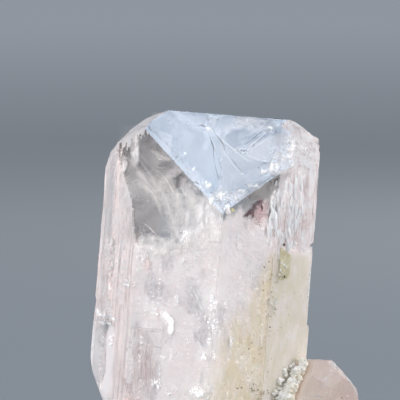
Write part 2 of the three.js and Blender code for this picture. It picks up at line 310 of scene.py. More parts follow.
def etched_marks(graph, place, height, streaks, glints):
    """Lines of an etched face, worn at the lower left, calm on the slab and torn at the upper right."""
    x, _, z = graph.split(place)
    wander = graph.noise(place, 0.5, detail=3.0)
    worn = graph.times(
        graph.ease(graph.times_plus(wander, 2.0, x), -11.3, -10.3, 0.85, 0.0),
        graph.fade(graph.times_plus(wander, 3.0, z), 14.0, 15.4),
    )
    high = graph.ease(z, 25.0, 27.5)
    at_right = graph.ease(x, 8.0, 10.0)
    on_slab = graph.times(at_right, graph.minus(1.0, high))
    strength = graph.maths("MAXIMUM", graph.minus(0.62, graph.times_plus(on_slab, 0.5, worn)), 0.0)
    drawn_up = graph.vector("MULTIPLY", place, (1.1, 1.1, 0.3))
    torn = graph.noise(drawn_up, 1.0, detail=6.0, roughness=0.7, warp=0.5)
    return {
        "Worn": worn,
        "Grooves": graph.times(streaks, strength),
        "Glints": graph.times(glints, strength),
        "Pits": graph.times(graph.ease(torn, 0.36, 0.52, 0.75, 0.0), at_right, high),
        "Frost": graph.times(graph.ease(torn, 0.52, 0.6), at_right, high),
        "Roughness": graph.ease(height, 0.5, 1.1, 0.25, 0.6),
        "Normal": graph.bump(graph.times(height, graph.plus(strength, 0.3)), 0.6, 0.25 * MM),
    }


def ragged_milk(graph, place, below_top, clearings, holes):
    """The milk's cover: holes where it is clear, and a ragged end at its top."""
    grain = graph.noise(place, 1.4, detail=7.0, roughness=0.75)
    top_fade = graph.ease(graph.times_plus(grain, 0.5, below_top), 0.26, 0.62)
    solid = graph.minus(1.0, graph.times(clearings, holes))
    return {"Alpha": graph.times(solid, top_fade), "Normal": graph.bump(grain, 0.8, 0.6 * MM)}


def bubble_veil(graph, place, weave, thickness, thin, thick):
    """Wisps for veils of tiny bubbles and for grey sheets of painted shade: how white they are, and how much
    they cover.
    """
    wisps = graph.vector("MULTIPLY", place, weave)
    wisps = graph.noise(wisps, 1.0, detail=6.0, roughness=0.65, warp=0.5)
    cover = graph.plus(graph.times(graph.ease(wisps, 0.36, 0.66), thick), thin)
    fine = graph.noise(place, 3.5)
    alpha = graph.times(cover, thickness)
    return {"Bubbles": fine, "Alpha": alpha, "Normal": graph.bump(fine, 0.5, 0.3 * MM)}


def torn_crack(graph, place, thickness, cover):
    """The torn face of a fracture, feathering out towards its edge."""
    torn = graph.noise(place, 2.6, detail=7.0, roughness=0.8, warp=0.9)
    return {
        "Bright": graph.ease(torn, 0.4, 0.6),
        "Alpha": graph.ease(graph.times_plus(thickness, 0.55, torn), 0.72, 1.02, 0.0, cover),
        "Normal": graph.bump(torn, 0.6, 0.3 * MM),
    }


def fleck_mottle(graph, place):
    """The uneven tone and polish of tiny fracture faces."""
    mottle = graph.noise(place, 3.0, detail=3.0)
    return {
        "Mottle": mottle,
        "Roughness": graph.ease(mottle, 0.3, 0.7, 0.15, 0.4),
        "Normal": graph.bump(mottle, 0.4, 0.1 * MM),
    }


def earth_grit(graph, place, grain_mm):
    """Clay and matrix grains: pale patches with dark grit between them."""
    patches = graph.noise(place, graph.over(0.9, grain_mm), detail=5.0, roughness=0.65)
    grit = graph.noise(place, graph.over(4.0, grain_mm))
    return {
        "Pale": graph.ease(patches, 0.35, 0.62),
        "Dark": graph.ease(grit, 0.62, 0.72),
        "Roughness": graph.ease(grit, 0.2, 0.8, 0.55, 0.95),
        "Normal": graph.bump(grit, 0.7, graph.times(grain_mm, 0.2 * MM)),
    }


striae_group = shader_group(growth_striae, Lines_per_mm=2.0, Length_mm=9.0)
cloud_group = shader_group(milk_cloud, Cloud_mm=5.0, Fleck_mm=1.0)
stain_group = shader_group(clay_stain)
film_group = shader_group(glass_film, Ripples=0.0, Stain=0.0)
etched_group = shader_group(etched_marks, Height=0.0, Streaks=0.0, Glints=0.0)
milk_group = shader_group(ragged_milk, Below_top=1.0, Clearings=0.0, Holes=0.0)
veil_group = shader_group(bubble_veil, Weave=(1.0, 1.0, 1.0), Thickness=1.0, Thin=0.0, Thick=1.0)
crack_group = shader_group(torn_crack, Thickness=1.0, Cover=1.0)
fleck_group = shader_group(fleck_mottle)
earth_group = shader_group(earth_grit, Grain_mm=0.5)

WHITE = (1.0, 1.0, 1.0)
GLASS_TINT = (0.99, 0.972, 0.974)
LAMP_TINT = (0.97, 0.95, 0.95)
STAINED_MILK = (0.82, 0.765, 0.62)
OCHRE_CLAY = (0.78, 0.73, 0.585)
DARK_CLAY = (0.4, 0.33, 0.2)


class Finish(Graph):
    """A material's tree, closed with its shader when all that feeds it is there."""

    def __init__(self, name):
        self.material = bpy.data.materials.new(name)
        self.material.use_nodes = True
        super().__init__(self.material.node_tree)
        self.tree.nodes.clear()

    def close(self, glassy=False, **inputs):
        """Lamps shine straight through what is glassy, so that what is inside is lit."""
        named = {label.replace("_", " "): given for label, given in inputs.items()}
        surface = self.node("ShaderNodeBsdfPrincipled", named).outputs[0]
        if glassy:
            to_lamp = self.node("ShaderNodeLightPath", {}).outputs["Is Shadow Ray"]
            open_way = self.node("ShaderNodeBsdfTransparent", {"Color": LAMP_TINT}).outputs[0]
            surface = self.node("ShaderNodeMixShader", {0: to_lamp, 1: surface, 2: open_way}).outputs[0]
        self.node("ShaderNodeOutputMaterial", {"Surface": surface})
        return self.material


def glass_material(name, left_tint, right_tint, dull_spots=()):
    """Clear faces, tinted left and right of the middle, dull in some spots."""
    finish = Finish(name)
    place = finish.crystal_place()
    striae = finish.use(striae_group, Place=place, Lines_per_mm=1.6, Length_mm=14.0)
    stain = finish.use(stain_group, Place=place)
    film = finish.use(film_group, Place=place, Ripples=striae["Height"], Stain=stain["Stain"])
    rough = film["Roughness"]
    if dull_spots:
        broken = finish.noise(place, 1.7, detail=6.0, roughness=0.7)
        dull = finish.times_plus(finish.near_spots(place, dull_spots), 0.45, broken)
        rough = finish.times_plus(finish.ease(dull, 0.62, 0.84), 0.2, rough)
    tint = finish.layers(
        finish.mix(finish.ease(finish.split(place)[0], -1.0, 3.0), left_tint, right_tint),
        (stain["Stain"], (0.93, 0.88, 0.77)),
        (stain["Specks"], (0.5, 0.42, 0.27)),
    )
    return finish.close(
        glassy=True, Base_Color=tint, Roughness=rough, Normal=film["Normal"],
        Transmission_Weight=1.0, IOR=REFRACTION,
    )


def etched_material(name, shade, bright):
    """Striated and frosted faces: pinkish white, half see-through, with upright lines."""
    finish = Finish(name)
    place = finish.crystal_place()
    striae = finish.use(striae_group, Place=place, Lines_per_mm=3.2, Length_mm=6.0)
    cloud = finish.use(cloud_group, Place=place, Cloud_mm=4.0, Fleck_mm=0.8)
    stain = finish.use(stain_group, Place=place)
    lines = {label: striae[label] for label in ("Height", "Streaks", "Glints")}
    marks = finish.use(etched_group, Place=place, **lines)
    colour = finish.layers(
        finish.mix(cloud["Cloud"], shade, bright),
        (marks["Worn"], (0.97, 0.96, 0.965)),
        # The next lines darken along the striae's streak mask and in noise mottles on the torn corner
        (marks["Grooves"], (0.64, 0.53, 0.52)),
        (marks["Glints"], (1.0, 0.99, 0.99)),
        (marks["Pits"], (0.58, 0.51, 0.51)),
        (marks["Frost"], WHITE),
        (cloud["Flecks"], WHITE),
        (stain["Stain"], OCHRE_CLAY),
        (stain["Specks"], DARK_CLAY),
    )
    return finish.close(
        glassy=True, Base_Color=colour, Roughness=marks["Roughness"], Normal=marks["Normal"],
        Transmission_Weight=0.4, IOR=REFRACTION,
    )


def milk_material(name, bright, shade, grey, holes):
    """A cloud of tiny fractures and fluid bubbles, thinning out towards the clear tip."""
    finish = Finish(name)
    place = finish.crystal_place()
    cloud = finish.use(cloud_group, Place=place, Cloud_mm=4.5, Fleck_mm=1.3)
    striae = finish.use(striae_group, Place=place, Lines_per_mm=0.9, Length_mm=5.0)
    stain = finish.use(stain_group, Place=place)
    top = finish.stored("below_top")
    milk = finish.use(milk_group, Place=place, Below_top=top, Clearings=cloud["Clearings"], Holes=holes)
    colour = finish.layers(
        finish.mix(cloud["Cloud"], shade, bright),
        (cloud["Clearings"], grey),
        (finish.times(striae["Streaks"], 0.25), grey),
        (cloud["Flecks"], WHITE),
        (stain["Stain"], STAINED_MILK),
    )
    return finish.close(
        Base_Color=colour, Alpha=milk["Alpha"], Normal=milk["Normal"], Roughness=0.6,
        Subsurface_Weight=0.3, Subsurface_Radius=(1.0, 0.8, 0.75), Subsurface_Scale=1.5 * MM,
    )


PLAIN_WEAVE = (0.8, 0.8, 0.5)


def haze_material(name, tone, thin, thick, weave=PLAIN_WEAVE, white=1.0, flash=0.0):
    """A thin veil of bubbles, pale where thick, and in some hazes a grey sheet of painted shade; see-through
    where thin.
    """
    finish = Finish(name)
    place, thickness = finish.crystal_place(), finish.stored("thickness")
    veil = finish.use(veil_group, Place=place, Weave=weave, Thickness=thickness, Thin=thin, Thick=thick)
    colour = finish.mix(finish.times(veil["Bubbles"], white), tone, (1.0, 0.99, 0.99))
    return finish.close(
        Base_Color=colour, Alpha=veil["Alpha"], Normal=veil["Normal"], Roughness=0.5,
        Emission_Color=WHITE, Emission_Strength=flash,
    )


def crack_material(name, tone, cover, flash=0.0):
    """The torn face of a fracture inside the crystal; its emission is a painted glow that stands in for what
    mirrors add.
    """
    finish = Finish(name)
    place, thickness = finish.crystal_place(), finish.stored("thickness")
    crack = finish.use(crack_group, Place=place, Thickness=thickness, Cover=cover)
    colour = finish.mix(crack["Bright"], tone, tuple(min(1.0, part * 1.25) for part in tone))
    return finish.close(
        Base_Color=colour, Alpha=crack["Alpha"], Normal=crack["Normal"], Roughness=0.25,
        Emission_Color=WHITE, Emission_Strength=flash,
    )


def fleck_material(name, tone, flash):
    """Tiny fracture faces that catch the lamps; their emission is a painted glow that stands in for what
    their mirrors add.
    """
    finish = Finish(name)
    fleck = finish.use(fleck_group, Place=finish.crystal_place())
    return finish.close(
        Base_Color=finish.mix(fleck["Mottle"], tone, (0.92, 0.91, 0.92)), Roughness=fleck["Roughness"],
        Normal=fleck["Normal"], Emission_Color=WHITE, Emission_Strength=flash,
    )


def earth_material(name, pale, dark, grain_mm):
    """Clay and matrix grains: dull and gritty, pale in patches with dark grit between."""
    finish = Finish(name)
    earth = finish.use(earth_group, Place=finish.crystal_place(), Grain_mm=grain_mm)
    colour = finish.layers(dark, (earth["Pale"], pale), (earth["Dark"], dark))
    return finish.close(Base_Color=colour, Roughness=earth["Roughness"], Normal=earth["Normal"])


# Where the roof is dull: the middle's x and z, and the radius of each spot
DULL_SPOTS = (
    (-0.4, 43.2, 1.7), (3.6, 43.9, 2.2), (5.6, 43.6, 2.2), (7.4, 43.2, 1.8), (9.2, 41.4, 2.4),
    (5.3, 34.0, 1.2), (7.0, 35.3, 1.5), (8.8, 36.9, 1.6),
)
clear_face = glass_material("clear_danburite", GLASS_TINT, GLASS_TINT)
# Painted shade: the roof's dark tint dims what is seen through the roof, so that the overhead window's sheen
# stands out
roof_face = glass_material("roof_danburite", (0.46, 0.48, 0.51), (0.4, 0.36, 0.325), DULL_SPOTS)
etched_face = etched_material("etched_danburite", (0.985, 0.88, 0.865), (1.0, 0.955, 0.945))
rose_face = etched_material("rose_danburite", (0.71, 0.555, 0.515), (0.82, 0.7, 0.65))
outer_milk = milk_material("outer_milk", (0.97, 0.95, 0.955), (0.94, 0.885, 0.89), (0.8, 0.79, 0.82), 0.2)
inner_milk = milk_material("inner_milk", (0.92, 0.89, 0.9), (0.87, 0.82, 0.82), (0.68, 0.67, 0.7), 0.0)

# Hazes, and grey sheets of painted shade: the tone, the cover where thin, how much more where thick, the
# weave, the whiteness and a painted glow
HAZES_AND_SHADES = {
    "window_haze": ((0.9, 0.88, 0.87), 0.42, 0.5),
    "smooth_haze": ((0.86, 0.83, 0.81), 0.42, 0.22, (0.6, 0.6, 0.4), 0.5),
    # Frost with a strong painted glow, a painted highlight
    "frost": (WHITE, 0.35, 0.65, (1.8, 1.8, 1.4), 1.0, 0.35),
    "faint_haze": ((0.8, 0.78, 0.79), 0.2, 0.3),
    # Painted shade: a grey sheet for darker strips along the roof's ridge
    "grey_haze": ((0.42, 0.44, 0.47), 0.25, 0.5),
    "blush_haze": ((0.93, 0.6, 0.56), 0.15, 0.6, (2.5, 2.5, 1.5)),
    # The next two are painted shade: grey sheets that stand in for the dark seen through the clear windows
    # and the roof
    "smooth_veil": ((0.49, 0.485, 0.485), 0.42, 0.04, PLAIN_WEAVE, 0.15),
    "dark_veil": ((0.27, 0.265, 0.26), 0.7, 0.1, PLAIN_WEAVE, 0.15),
    "streaky_shade": ((0.58, 0.46, 0.46), 0.08, 0.6, (1.7, 1.7, 0.2), 0.3),
    "white_cloud": (WHITE, 0.0, 0.85, (1.3, 1.3, 0.8), 1.0, 0.08),
    "pink_mineral": ((0.55, 0.25, 0.27), 0.25, 0.75, (2.0, 2.0, 3.4), 0.7),
}
# Cracks: the tone, the cover and a painted glow
CRACKS = {
    "white_crack": ((0.88, 0.87, 0.87), 0.9, 0.05),
    "flash_crack": ((0.97, 0.97, 0.98), 1.0, 0.18),
    "faint_crack": ((0.82, 0.8, 0.8), 0.7),
    "dark_crack": ((0.26, 0.26, 0.28), 0.42),
    # Soft dark lines; the one along the front edge is painted shade
    "soft_line": ((0.58, 0.54, 0.55), 0.35),
    "red_mineral": ((0.11, 0.06, 0.07), 1.0),
    "gold_glint": ((0.8, 0.73, 0.4), 0.9),
}
# Grains and clay: the pale tone, the dark tone and the size of the grain
EARTHS = {
    "red_grain": ((0.45, 0.2, 0.2), (0.14, 0.05, 0.06), 0.6),
    "ochre_clay": ((0.76, 0.7, 0.5), (0.58, 0.51, 0.32), 0.6),
    "brown_speck": ((0.42, 0.36, 0.26), (0.2, 0.16, 0.1), 0.4),
    "black_speck": ((0.06, 0.05, 0.04), (0.02, 0.018, 0.015), 0.4),
    "pale_matrix": ((1.0, 0.985, 0.95), (0.86, 0.8, 0.66), 0.8),
}
# Flecks: the tone and a painted glow
FLECKS = {"bright_fleck": (WHITE, 0.06), "flash_fleck": (WHITE, 0.3)}
finishes = {}
for make, tones in (
    (haze_material, HAZES_AND_SHADES), (crack_material, CRACKS), (earth_material, EARTHS), (fleck_material, FLECKS)
):
    finishes |= {name: make(name, *values) for name, values in tones.items()}


def link_mesh(name, mesh):
    piece = bpy.data.objects.new(name, mesh)
    bpy.context.scene.collection.objects.link(piece)
    return piece


def finish_piece(piece, slot="milky_pink_crystal"):
    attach(piece, "root")
    return piece


def mesh_of(name, points, faces, smooth=False):
    """A mesh from points in crystal millimetres."""
    mesh = bpy.data.meshes.new(name)
    mesh.from_pydata([world(point) for point in points], [], faces)
    mesh.polygons.foreach_set("use_smooth", np.full(len(faces), smooth))
    mesh.update()
    return mesh


def store(mesh, name, values):
    """One number for each vertex, for the finish to read."""
    attribute = mesh.attributes.new(name, "FLOAT", "POINT")
    attribute.data.foreach_set("value", np.asarray(values, dtype=np.float32))


def set_points(mesh, points):
    """Puts the vertices where points in crystal millimetres say."""
    places = (points @ np.array(lean_turn).T + np.array(CRYSTAL_FOOT)) * MM
    mesh.vertices.foreach_set("co", places.astype(np.float32).ravel())
    mesh.update()


def bmesh_to_mesh(work, mesh):
    work.to_mesh(mesh)
    work.free()
    mesh.validate()
    return mesh


def merged_copy(node_name, name):
    """A node's mesh copied, with its doubled corners merged."""
    work = bmesh.new()
    work.from_mesh(frame["nodes"][node_name].data)
    bmesh.ops.remove_doubles(work, verts=work.verts, dist=0.002 * MM)
    return bmesh_to_mesh(work, bpy.data.meshes.new(name))


# How finely the skin and the crust are cut, and how far ribs are worn down over the windows
SKIN_EDGE = 0.55
CRUST_EDGE = 0.3
WORN_RIBS = 0.1
RIGHT_BAND = 9.4
ROOF_END = 11.2


def refine(mesh, longest, passes=9):
    """Splits every edge longer than the given length, keeping the flat faces and crisp edges."""
    work = bmesh.new()
    work.from_mesh(mesh)
    for _ in range(passes):
        too_long = [edge for edge in work.edges if edge.calc_length() > longest * MM]
        if not too_long:
            break
        bmesh.ops.subdivide_edges(work, edges=too_long, cuts=1)
        bmesh.ops.triangulate(work, faces=[face for face in work.faces if len(face.verts) > 3])
        flat = [edge for edge in work.edges if len(edge.link_faces) == 2 and edge.calc_face_angle(0) < 0.01]
        bmesh.ops.beautify_fill(work, faces=work.faces, edges=flat)
    bmesh_to_mesh(work, mesh)


def left_band(z):
    """Where the striated left band ends and the clear window begins, at each height."""
    return np.interp(z, (25.7, 31.2, 37.3), (-9.9, -10.8, -13.3))


def left_face_y(x):
    return FRONT_EDGE.y + (FRONT_EDGE.x - x) * LEFT_FACE_RISE


def right_face_y(x):
    return FRONT_EDGE_RIGHT.y + (x - FRONT_EDGE_RIGHT.x) * RIGHT_FACE_RISE


def back_left_y(x):
    return BACK_LEFT_CORNER.y + (x - BACK_LEFT_CORNER.x) * RIGHT_FACE_RISE


def back_right_y(x):
    return BACK_RIGHT_CORNER.y + (BACK_RIGHT_CORNER.x - x) * LEFT_FACE_RISE


def roof_y(z):
    return -(RIDGE_HEIGHT - z) / math.tan(ROOF_SLOPE)


def below_roof(point):
    """How far a point lies under the two roof faces, straight up."""
    return RIDGE_HEIGHT - point[2] - abs(point[1]) * math.tan(ROOF_SLOPE)


def inside(point):
    """How far a point lies within the front faces and the roof."""
    x, y = point[0], point[1]
    return 0.7 * min(below_roof(point), y - left_face_y(x), y - right_face_y(x))


def ease(value, low, high):
    """0 below low, 1 above high and smooth between."""
    share = np.clip((np.asarray(value, dtype=float) - low) / (high - low), 0, 1)
    return share * share * (3 - 2 * share)


def skin_slots(mesh):
    """Which finish each face has: 0 clear, 1 etched, 2 the bright front roof."""
    x, y, z = crystal_rows(rows_of(mesh.polygons, "center")).T
    normals = rows_of(mesh.polygons, "normal") @ np.array(lean_turn)
    upward = normals[:, 2]
    roof = (np.abs(upward - math.cos(ROOF_SLOPE)) < 0.02) & (np.abs(normals[:, 0]) < 0.1)
    front_roof = roof & (normals[:, 1] < -0.6)
    shoulder = (upward > 0.12) & ~roof & (y < 1.0)
    left = (x < left_band(z)) & ~roof & ((y < 2.0) | (z < WINDOW_FLOOR))
    right = (x > RIGHT_BAND) & ~roof
    rough_corner = ROOF_END - 0.25 * (z - 38.5) + 0.5 * np.sin(1.7 * z) + 0.4 * np.sin(4.3 * z + 1)
    corner = (x > rough_corner) & (z > 36)
    brow = np.interp(x, (-13.3, -9.5), (37.6, 41.0)) + 0.5 * np.sin(7 * x) + 0.3 * np.sin(17 * x + 2)
    shoulder |= (z > brow) & (x < -9.2) & (y < 0.0) & ~roof
    slots = np.where(left | right | shoulder | corner | (z < 3.0), 1, 0)
    return np.where(front_roof & ~corner, 2, slots)


def smooth_foot(x, z):
    """1 on the worn lower left corner of the front, 0 elsewhere."""
    return ease(-x, 11.4, 12.2) * (1 - ease(z, 13.0, 14.2))


def wear_ribs(points):
    """Lowers the ribs that stand out of the faces where the crystal is clear or worn."""
    x, y, z = points.T
    over_floor = ease(z, WINDOW_FLOOR - 2, WINDOW_FLOOR)
    left_window = ((x > left_band(z)) & (x < FRONT_EDGE.x)) * over_floor
    right_window = ((x > FRONT_EDGE_RIGHT.x) & (x < RIGHT_BAND - 0.3)) * ease(z, 29.0, 31.0)
    for face_y, side, worn in (
        (left_face_y(x), -1, np.maximum(left_window, smooth_foot(x, z))),
        (right_face_y(x), -1, right_window),
        (back_left_y(x), 1, (x > BACK_LEFT_CORNER.x + 1) * over_floor),
        (back_right_y(x), 1, (x < RIGHT_BAND) * over_floor),
    ):
        proud = (y - face_y) * side
        on_rib = (proud > 0) & (proud < 0.9)
        y = y - proud * side * np.where(on_rib, worn * (1 - WORN_RIBS), 0)
    return np.column_stack([x, y, z])


def growth_lines_recipe(graph, geometry, depth, lines_per_mm, length_mm, seed):
    """Fine upright growth lines cut into a skin, deepest where it is striated."""
    turn = {"Vector": graph.node("GeometryNodeInputPosition", {}).outputs[0], "Angle": LEAN}
    upright = graph.node("ShaderNodeVectorRotate", turn, rotation_type="Y_AXIS", invert=True).outputs[0]
    across = graph.over(lines_per_mm, MM)
    scale = graph.join(across, across, graph.over(1 / MM, length_mm))
    grooves = {"Vector": graph.vector("MULTIPLY", upright, scale), "W": seed, "Scale": 1.0, "Detail": 3.0}
    lines = graph.node("ShaderNodeTexNoise", grooves, noise_dimensions="4D").outputs[0]
    share = graph.node("GeometryNodeInputNamedAttribute", {"Name": "striated"}, data_type="FLOAT").outputs[0]
    cut = graph.times(graph.ease(lines, 0.35, 0.65, -1.0, 0.0), share, depth)
    offset = graph.vector("SCALE", graph.node("GeometryNodeInputNormal", {}).outputs[0], cut)
    moved = graph.node("GeometryNodeSetPosition", {"Geometry": geometry, "Offset": offset})
    return {"Geometry": moved.outputs[0]}


growth_lines = new_tree(
    "growth_lines", "GeometryNodeTree", growth_lines_recipe,
    Depth=0.1 * MM, Lines_per_mm=1.5, Length_mm=7.0, Seed=4.0,
)


def use_tree(piece, tree, **values):
    """Runs a geometry tree on a piece and keeps the result as its plain mesh."""
    modifier = piece.modifiers.new(tree.name, "NODES")
    modifier.node_group = tree
    for item in tree.interface.items_tree:
        key = item.name.replace(" ", "_")
        if item.in_out == "INPUT" and key in values:
            modifier[item.identifier] = values[key]
    piece.data = evaluated_mesh(piece)
    piece.data.name = piece.name
    piece.modifiers.clear()
    return piece


def evaluated_mesh(piece):
    evaluated = piece.evaluated_get(bpy.context.evaluated_depsgraph_get())
    return bpy.data.meshes.new_from_object(evaluated)


def crystal_skin():
    mesh = merged_copy("main_crystal", "crystal_skin")
    refine(mesh, SKIN_EDGE)
    set_points(mesh, wear_ribs(crystal_rows(rows_of(mesh.vertices, "co"))))
    for material in (clear_face, etched_face, roof_face):
        mesh.materials.append(material)
    mesh.polygons.foreach_set("material_index", skin_slots(mesh).astype(np.int32))
    x, y, z = crystal_rows(rows_of(mesh.vertices, "co")).T
    below_window = 1 - ease(z, WINDOW_FLOOR - 3, WINDOW_FLOOR)
    right_band = ease(x, RIGHT_BAND, RIGHT_BAND + 0.8) * (0.25 + 0.75 * ease(z, 25.5, 26.5))
    bands = np.maximum(ease(left_band(z) - x, 0.0, 0.8), right_band)
    striated = np.maximum(below_window * (0.6 - 0.4 * ease(x, 8.6, 9.6)), bands)
    striated *= ease(below_roof((x, y, z)), 0.5, 1.5) * ease(z, 1.0, 3.0)
    store(mesh, "striated", striated * (1 - 0.9 * smooth_foot(x, z)))
    mesh.update()
    return use_tree(link_mesh("crystal_skin", mesh), growth_lines, Depth=0.22 * MM, Lines_per_mm=1.3)


# The milk: an outer layer with holes close under the skin, and a denser heart deeper in
OUTER_INSET = 0.5
INNER_INSET = 2.6
MILK_VOXEL = 0.55


def milk_top(x, y):
    """How high the milk reaches: low behind the windows, up to the roof on the right."""
    wave = smooth_noise(Vector((x * 0.3, y * 0.3, 3.1))) * 1.5
    ripple = smooth_noise(Vector((x * 1.1, y * 1.1, 7.7))) * 0.7
    rise = 6.0 * float(ease(x, -3.6, 1.5)) * float(1 - ease(y, -9, -4))
    climb = 11.5 * float(ease(x, 9.3, 10.8))
    return WINDOW_FLOOR + 0.6 + rise + climb + wave + ripple


def milk_layer(name, inset, material, sunk):
    """The main crystal's form drawn in by the inset, and cut off at the milk's top."""
    body = link_mesh(name, merged_copy("main_crystal", name))
    remesh = body.modifiers.new("remesh", "REMESH")
    remesh.mode = "VOXEL"
    remesh.voxel_size = MILK_VOXEL * MM
    mesh = evaluated_mesh(body)
    body.modifiers.clear()
    points = []
    below = []
    for vertex in mesh.vertices:
        point = crystal(vertex.co)
        uneven = 1 + smooth_noise(point * 0.5) * 0.35 + smooth_noise(point * 1.4) * 0.2
        place = point - (lean_turn.transposed() @ vertex.normal) * inset * uneven
        top = milk_top(place.x, place.y) - sunk
        roof = RIDGE_HEIGHT - abs(place.y) * math.tan(ROOF_SLOPE) - 1.2 * inset - 0.5
        floor = inset + 0.3 + max(0.0, -place.x * math.tan(LEAN))
        place.z = max(min(place.z, top, roof), floor)
        points.append(place)
        below.append(min(1.0, (top - place.z) / 5))
    set_points(mesh, np.array(points))
    store(mesh, "below_top", below)
    mesh.materials.append(material)
    mesh.polygons.foreach_set("use_smooth", np.full(len(mesh.polygons), True))
    body.data = mesh
    return finish_piece(body)


skin = finish_piece(crystal_skin())
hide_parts("main_crystal")
milk_layer("outer_milk", OUTER_INSET, outer_milk, 0.0)
milk_layer("milky_heart", INNER_INSET, inner_milk, 1.5)


# Fractures, veils and the grey painted shade are sheets, each drawn close under the face that it is seen
# through
def under_left(x, z, depth):
    return Vector((x, left_face_y(x) + depth, z))


def under_right(x, z, depth):
    return Vector((x, right_face_y(x) + depth, z))


def under_roof(x, z, depth):
    return Vector((x, roof_y(z) + depth * math.sin(ROOF_SLOPE), z - depth * math.cos(ROOF_SLOPE)))


def front_of(node_name):
    """Like under_roof, but under whatever is met first from the front on the given node."""
    mesh = frame["nodes"][node_name].data
    corners = [vertex.co for vertex in mesh.vertices]
    surface = BVHTree.FromPolygons(corners, [tuple(face.vertices) for face in mesh.polygons])

    def under(x, z, depth):
        met = surface.ray_cast(world((x, -40, z)), Vector((0, 1, 0)))[0]
        if met is None:
            met = surface.find_nearest(world((x, -4, z)))[0]
        spot = crystal(met)
        return Vector((spot.x, spot.y + depth, spot.z))

    return under


under_skin = front_of("main_crystal")
under_rose = front_of("side_crystal")
under_crust = front_of("matrix_crust")


def grid_faces(columns, rows):
    """The quads of a grid whose points run up each column in turn."""
    return [
        (i * rows + j, (i + 1) * rows + j, (i + 1) * rows + j + 1, i * rows + j + 1)
        for i in range(columns - 1)
        for j in range(rows - 1)
    ]


def sheet_piece(name, sheets, finish):
    """One piece of several sheets, each its points, its faces and its thickness at every point."""
    points, faces, thickness = [], [], []
    for some_points, some_faces, some_thickness in sheets:
        faces += [tuple(len(points) + i for i in face) for face in some_faces]
        points += some_points
        thickness += some_thickness
    mesh = mesh_of(name, points, faces, smooth=True)
    mesh.materials.append(finishes[finish])
    store(mesh, "thickness", thickness)
    return finish_piece(link_mesh(name, mesh))


def smooth_path(points, steps=6):
    """A Catmull-Rom curve through the given points."""
    path = [Vector(point) for point in points]
    padded = [path[0] * 2 - path[1]] + path + [path[-1] * 2 - path[-2]]
    curve = []
    for i in range(1, len(padded) - 2):
        before, here, there, after = padded[i - 1 : i + 3]
        for t in (step / steps for step in range(steps)):
            square = (2 * before - 5 * here + 4 * there - after) * t * t
            cube = (3 * here - before - 3 * there + after) * t ** 3
            curve.append(0.5 * (2 * here + (there - before) * t + square + cube))
    return curve + [path[-1]]


ACROSS_CRACK = (-1.0, -0.45, 0.0, 0.45, 1.0)


def crack_band(under, line, width, depth, dive):
    """A feathered band along a line of (x, z) points; dive is how far its lower side runs inwards."""
    curve = smooth_path(line)
    points, thickness = [], []
    for i, spot in enumerate(curve):
        ahead = curve[min(i + 1, len(curve) - 1)] - curve[max(i - 1, 0)]
        side = Vector((-ahead.y, ahead.x)).normalized()
        taper = math.sin(math.pi * (i + 0.5) / len(curve)) ** 0.6
        for across in ACROSS_CRACK:
            wobble = smooth_noise(Vector((spot.x * 1.6, spot.y * 1.6, across * 2.0)))
            place = spot + side * width * (0.5 * across * taper + 0.3 * wobble)
            points.append(under(place.x, place.y, depth + dive * width * 0.5 * (1 - across)))
            thickness.append((1 - across * across) * taper)
    return points, grid_faces(len(curve), len(ACROSS_CRACK)), thickness


def crack_piece(name, finish, usual, bands):
    """Bands of a face, a line and a width; a depth or dive that is left out is the usual one."""
    sheet_piece(name, [crack_band(*band, *usual[len(band) - 3 :]) for band in bands], finish)


HAZE_ROWS = 30


def haze_piece(name, finish, under, box, depth, densest, reach):
    """A veil or grey sheet of painted shade under a face, inside an (x, z) box, densest at one point and gone
    beyond the reach.
    """
    x_low, x_high, z_low, z_high = box
    points, thickness = [], []
    for i in range(HAZE_ROWS):
        for j in range(HAZE_ROWS):
            x = x_low + (x_high - x_low) * i / (HAZE_ROWS - 1)
            z = z_low + (z_high - z_low) * j / (HAZE_ROWS - 1)
            uneven = smooth_noise(Vector((x * 0.4, z * 0.4, depth)))
            ragged = smooth_noise(Vector((x * 1.3, z * 1.3, 5.0)))
            points.append(under(x, z, depth * (1 + 0.6 * uneven)))
            away = math.hypot((x - densest[0]) / reach[0], (z - densest[1]) / reach[1])
            thickness.append(float(1 - ease(away + 0.25 * uneven + 0.3 * ragged, 0.3, 1.0)))
            if under is not under_skin:
                thickness[-1] *= float(ease(inside(points[-1]), -0.1, 0.05))
    faces = [face for face in grid_faces(HAZE_ROWS, HAZE_ROWS) if thickness[face[0]] > 0]
    sheet_piece(name, [(points, faces, thickness)], finish)


CRESCENT = [(-10.6, 35.3), (-8.6, 34.7), (-7.1, 33.6), (-5.8, 31.6), (-4.7, 28.9), (-3.7, 26.2)]
INNER_CRESCENT = [(-11.6, 33.8), (-9.9, 33.7), (-8.1, 32.8), (-6.9, 31.1), (-6.2, 29.4)]
OUTER_CRESCENT = [(-8.2, 36.2), (-6.4, 35.0), (-5.0, 33.0), (-3.9, 30.6), (-3.0, 27.6)]
WINDOW_LEDGE = [(-10.4, 24.9), (-9.0, 25.8), (-7.4, 26.3), (-5.4, 26.2), (-3.4, 25.5)]
crack_piece("window_crescents", "smooth_haze", (0.5, 0.1), [
    (under_left, CRESCENT, 2.4, 0.45),
    (under_left, INNER_CRESCENT, 1.3),
    (under_left, OUTER_CRESCENT, 2.2, 0.4),
    (under_left, [(-4.2, 35.4), (-2.6, 32.9), (-1.6, 30.4)], 2.2),
    (under_left, [(-8.6, 38.6), (-6.6, 37.6), (-4.9, 38.0)], 1.0),
])
crack_piece("window_cracks", "faint_crack", (0.3, 0.8), [(under_left, WINDOW_LEDGE, 1.5)])
